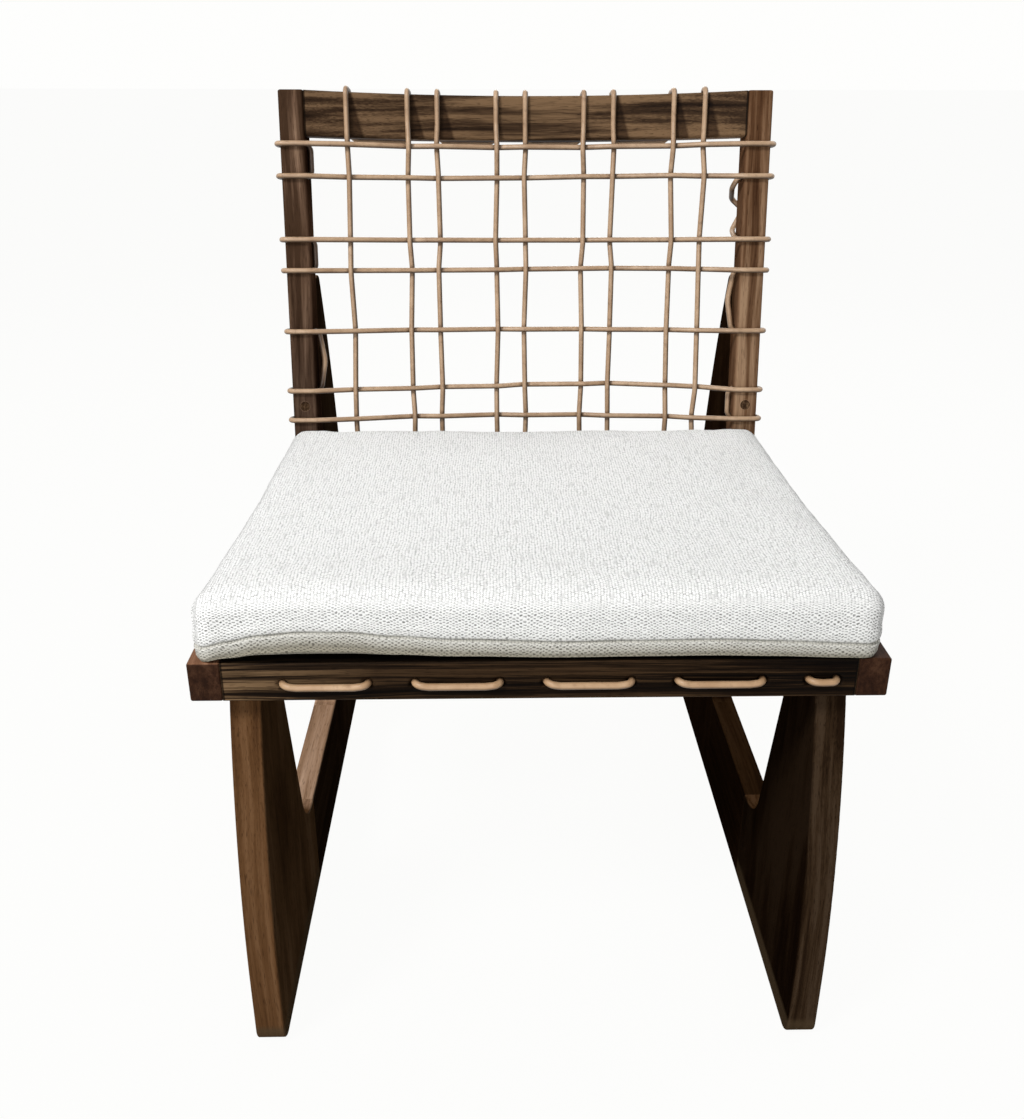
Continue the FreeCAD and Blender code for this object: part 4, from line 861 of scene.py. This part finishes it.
def swelling(piece):
    """Places and moves of a coarse copy of the piece when its cover is blown up a little."""
    copy = bpy.data.objects.new("swell_copy", piece.data.copy())
    scene.collection.objects.link(copy)
    remesh = copy.modifiers.new("voxels", "REMESH")
    remesh.mode = "VOXEL"
    remesh.voxel_size = VOXEL_SIZE
    depsgraph = bpy.context.evaluated_depsgraph_get()
    coarse = bpy.data.meshes.new_from_object(copy.evaluated_get(depsgraph))
    copy.modifiers.clear()
    copy.data = coarse
    before = [vertex.co.copy() for vertex in coarse.vertices]
    cover = copy.modifiers.new("cover", "CLOTH")
    for key, value in COVER_SETTINGS.items():
        setattr(cover.settings, key, value)
    cover.settings.effector_weights.gravity = 0
    cover.collision_settings.use_collision = False
    for number in range(1, COVER_FRAMES + 1):
        scene.frame_set(number)
    depsgraph = bpy.context.evaluated_depsgraph_get()
    after = copy.evaluated_get(depsgraph).to_mesh()
    moves = [(start, vertex.co - start) for start, vertex in zip(before, after.vertices)]
    copy.evaluated_get(depsgraph).to_mesh_clear()
    bpy.data.objects.remove(copy)
    scene.frame_set(1)
    return moves


def add_swelling(piece):
    """Blows the cover up by the coarse copy's moves, capped, and leaves the underside flat."""
    moves = swelling(piece)
    tree = kdtree.KDTree(len(moves))
    for index, (place, move) in enumerate(moves):
        tree.insert(place, index)
    tree.balance()
    for vertex in piece.data.vertices:
        total = Vector()
        weights = 0.0
        for place, index, distance in tree.find_n(vertex.co, NEAR_COUNT):
            weight = 1 / (distance + NEAR_DISTANCE)
            total += moves[index][1] * weight
            weights += weight
        move = total / weights
        if move.length > SWELL_CAP:
            move *= SWELL_CAP / move.length
        height = vertex.co.z - CUSHION_BOTTOM_Z
        vertex.co += move * min(1.0, max(0.0, height / FULL_SWELL_HEIGHT))
    widest = max(abs(vertex.co.x) for vertex in piece.data.vertices)
    foremost = min(vertex.co.y for vertex in piece.data.vertices)
    for vertex in piece.data.vertices:
        vertex.co.x *= CUSHION_HALF_WIDTH / widest
        share = (STILE_FRONT_Y - vertex.co.y) / (STILE_FRONT_Y - foremost)
        vertex.co.y += (CUSHION_FRONT_Y - foremost) * share


def front_lift(across):
    """How far the cushion's front lower edge stands off the front rail."""
    for (x0, lift0), (x1, lift1) in zip(FRONT_LIFTS, FRONT_LIFTS[1:]):
        if across <= x1:
            share = max(0.0, (across - x0) / (x1 - x0))
            smooth_share = share * share * (3 - 2 * share)
            return lift0 + (lift1 - lift0) * smooth_share
    return 0.0


def hump(height, size, centre, width):
    """Height of a smooth hump at a distance from its centre."""
    return size * math.exp(-((height - centre) / width) ** 2)


def add_seam_and_set(piece):
    """Sews the seam round the side, lifts the front edge and makes the cover a little uneven."""
    normals = [vertex.normal.copy() for vertex in piece.data.vertices]
    above_seam = piece.data.attributes.new("above_seam", "FLOAT", "POINT")
    for vertex, normal in zip(piece.data.vertices, normals):
        place = vertex.co.copy()
        along = min(1.0, max(0.0, (place.y - CUSHION_FRONT_Y) / (STILE_FRONT_Y - CUSHION_FRONT_Y)))
        height = (place.z - CUSHION_BOTTOM_Z) / (1 + REAR_RISE * along / CUSHION_HEIGHT)
        from_seam = height - SEAM_HEIGHT
        above_seam.data[vertex.index].value = from_seam
        level = Vector((normal.x, normal.y, 0))
        if level.length > SIDE_TURN:
            level.normalize()
            pucker = 1 + PUCKER_SHARE * noise.noise(place * PUCKER_SCALE)
            tuck = FOOT_DRAW * max(0.0, -from_seam) / SEAM_HEIGHT
            swell = hump(from_seam, *PILLOW) + hump(from_seam, *RIDGE)
            vertex.co += level * (swell - hump(from_seam, *GROOVE) * pucker - tuck)
        if normal.z > UNDERSIDE_TURN:
            vertex.co += normal * sum(size * noise.noise(place * scale) for size, scale in UNEVENNESS)
        reach = LIFT_REACH_BELOW + (LIFT_REACH - LIFT_REACH_BELOW) * min(1.0, height / SEAM_HEIGHT)
        front = max(0.0, 1 - (place.y - CUSHION_FRONT_Y) / reach)
        upper = max(0.0, from_seam) / (CUSHION_HEIGHT - SEAM_HEIGHT)
        vertex.co.z += front_lift(place.x) * front ** 2 * (1 - TOP_LIFT_LOSS * min(1.0, upper))
        vertex.co.x += CUSHION_SHIFT_X


cushion = new_piece("cushion", cushion_mesh(), cloth("cushion_cloth"))
add_swelling(cushion)
add_seam_and_set(cushion)
smooth = cushion.modifiers.new("smooth", "SUBSURF")
smooth.levels = 1
smooth.render_levels = 1
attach(cushion, "cushion")
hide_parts("cushion_cover", "cushion_foam")

# Surroundings
FLOOR_HALF_SIZE = 30
FLOOR_Z = -0.0005
FLOOR_TONES = ((0.60, 0.60, 0.59), (0.63, 0.63, 0.62))
FLOOR_SPECKLE = (4, 2)
FLOOR_ROUGHNESS = 0.9
FLOOR_GLOW = (1, 1, 0.99)
FLOOR_GLOW_SHARE = 0.96
BACKDROP = (0.99, 0.99, 0.98)
WORLD_STRENGTH = 0.08

# Soft lights: place, aim, width and height in metres, and power in watts
SOFTBOXES = {
    "key": ((-1.5, -1.6, 2.7), (0, 0, 0.45), 0.7, 0.7, 68),
    "top": ((0.1, 0.0, 3.0), (0, 0, 0.4), 1.6, 1.6, 10),
    "front": ((-0.6, -2.95, 0.8), (0, 0, 0.4), 1.4, 1.0, 29),
    "right": ((2.4, 0.6, 2.0), (0, 0, 0.45), 1.2, 1.2, 22),
    "left": ((-2.4, 0.9, 2.0), (0, 0, 0.45), 1.2, 1.2, 10),
    "rear": ((0.3, 2.7, 1.9), (0, 0, 0.45), 1.6, 1.2, 24),
}


def seen_directly(tree):
    """1 for what the camera sees, also mirrored or through glass."""
    rays = add_node(tree, "ShaderNodeLightPath").outputs
    mirrored = math_node(tree, "MAXIMUM", rays["Is Glossy Ray"], rays["Is Transmission Ray"])
    return math_node(tree, "MAXIMUM", rays["Is Camera Ray"], mirrored)


def add_floor():
    """Pale floor that keeps a soft shadow."""
    mesh = bmesh.new()
    bmesh.ops.create_grid(mesh, x_segments=1, y_segments=1, size=FLOOR_HALF_SIZE)
    material, tree, shader, place = new_material("pale_floor")
    speckle = noise_at(tree, place.outputs["Object"], *FLOOR_SPECKLE)
    set_inputs(tree, shader, {
        "Base Color": mix_colour(tree, speckle, *FLOOR_TONES),
        "Roughness": FLOOR_ROUGHNESS,
    })
    glow = add_node(tree, "ShaderNodeEmission", {"Color": FLOOR_GLOW, "Strength": 1.0})
    share = math_node(tree, "MULTIPLY", seen_directly(tree), FLOOR_GLOW_SHARE)
    blend = add_node(tree, "ShaderNodeMixShader", {0: share, 1: shader, 2: glow})
    set_inputs(tree, tree.nodes["Material Output"], {"Surface": blend})
    floor = new_piece("floor", mesh, material)
    floor.location.z = FLOOR_Z


def add_world():
    """White to the camera, soft grey light to the chair."""
    world = bpy.data.worlds.new("studio")
    world.use_nodes = True
    tree = world.node_tree
    light = tree.nodes["Background"]
    set_inputs(tree, light, {"Color": (1, 1, 1), "Strength": WORLD_STRENGTH})
    backdrop = add_node(tree, "ShaderNodeBackground", {"Color": BACKDROP, "Strength": 1.0})
    blend = add_node(tree, "ShaderNodeMixShader", {0: seen_directly(tree), 1: light, 2: backdrop})
    set_inputs(tree, tree.nodes["World Output"], {"Surface": blend})
    scene.world = world


def add_softbox(name, place, aim, width, height, power):
    """Rectangular soft light."""
    data = bpy.data.lights.new(name, "AREA")
    data.shape = "RECTANGLE"
    data.size = width
    data.size_y = height
    data.energy = power
    lamp = bpy.data.objects.new(name, data)
    lamp.location = place
    lamp.rotation_euler = (Vector(aim) - Vector(place)).to_track_quat("-Z", "Y").to_euler()
    scene.collection.objects.link(lamp)


add_floor()
add_world()
for name, settings in SOFTBOXES.items():
    add_softbox(name, *settings)
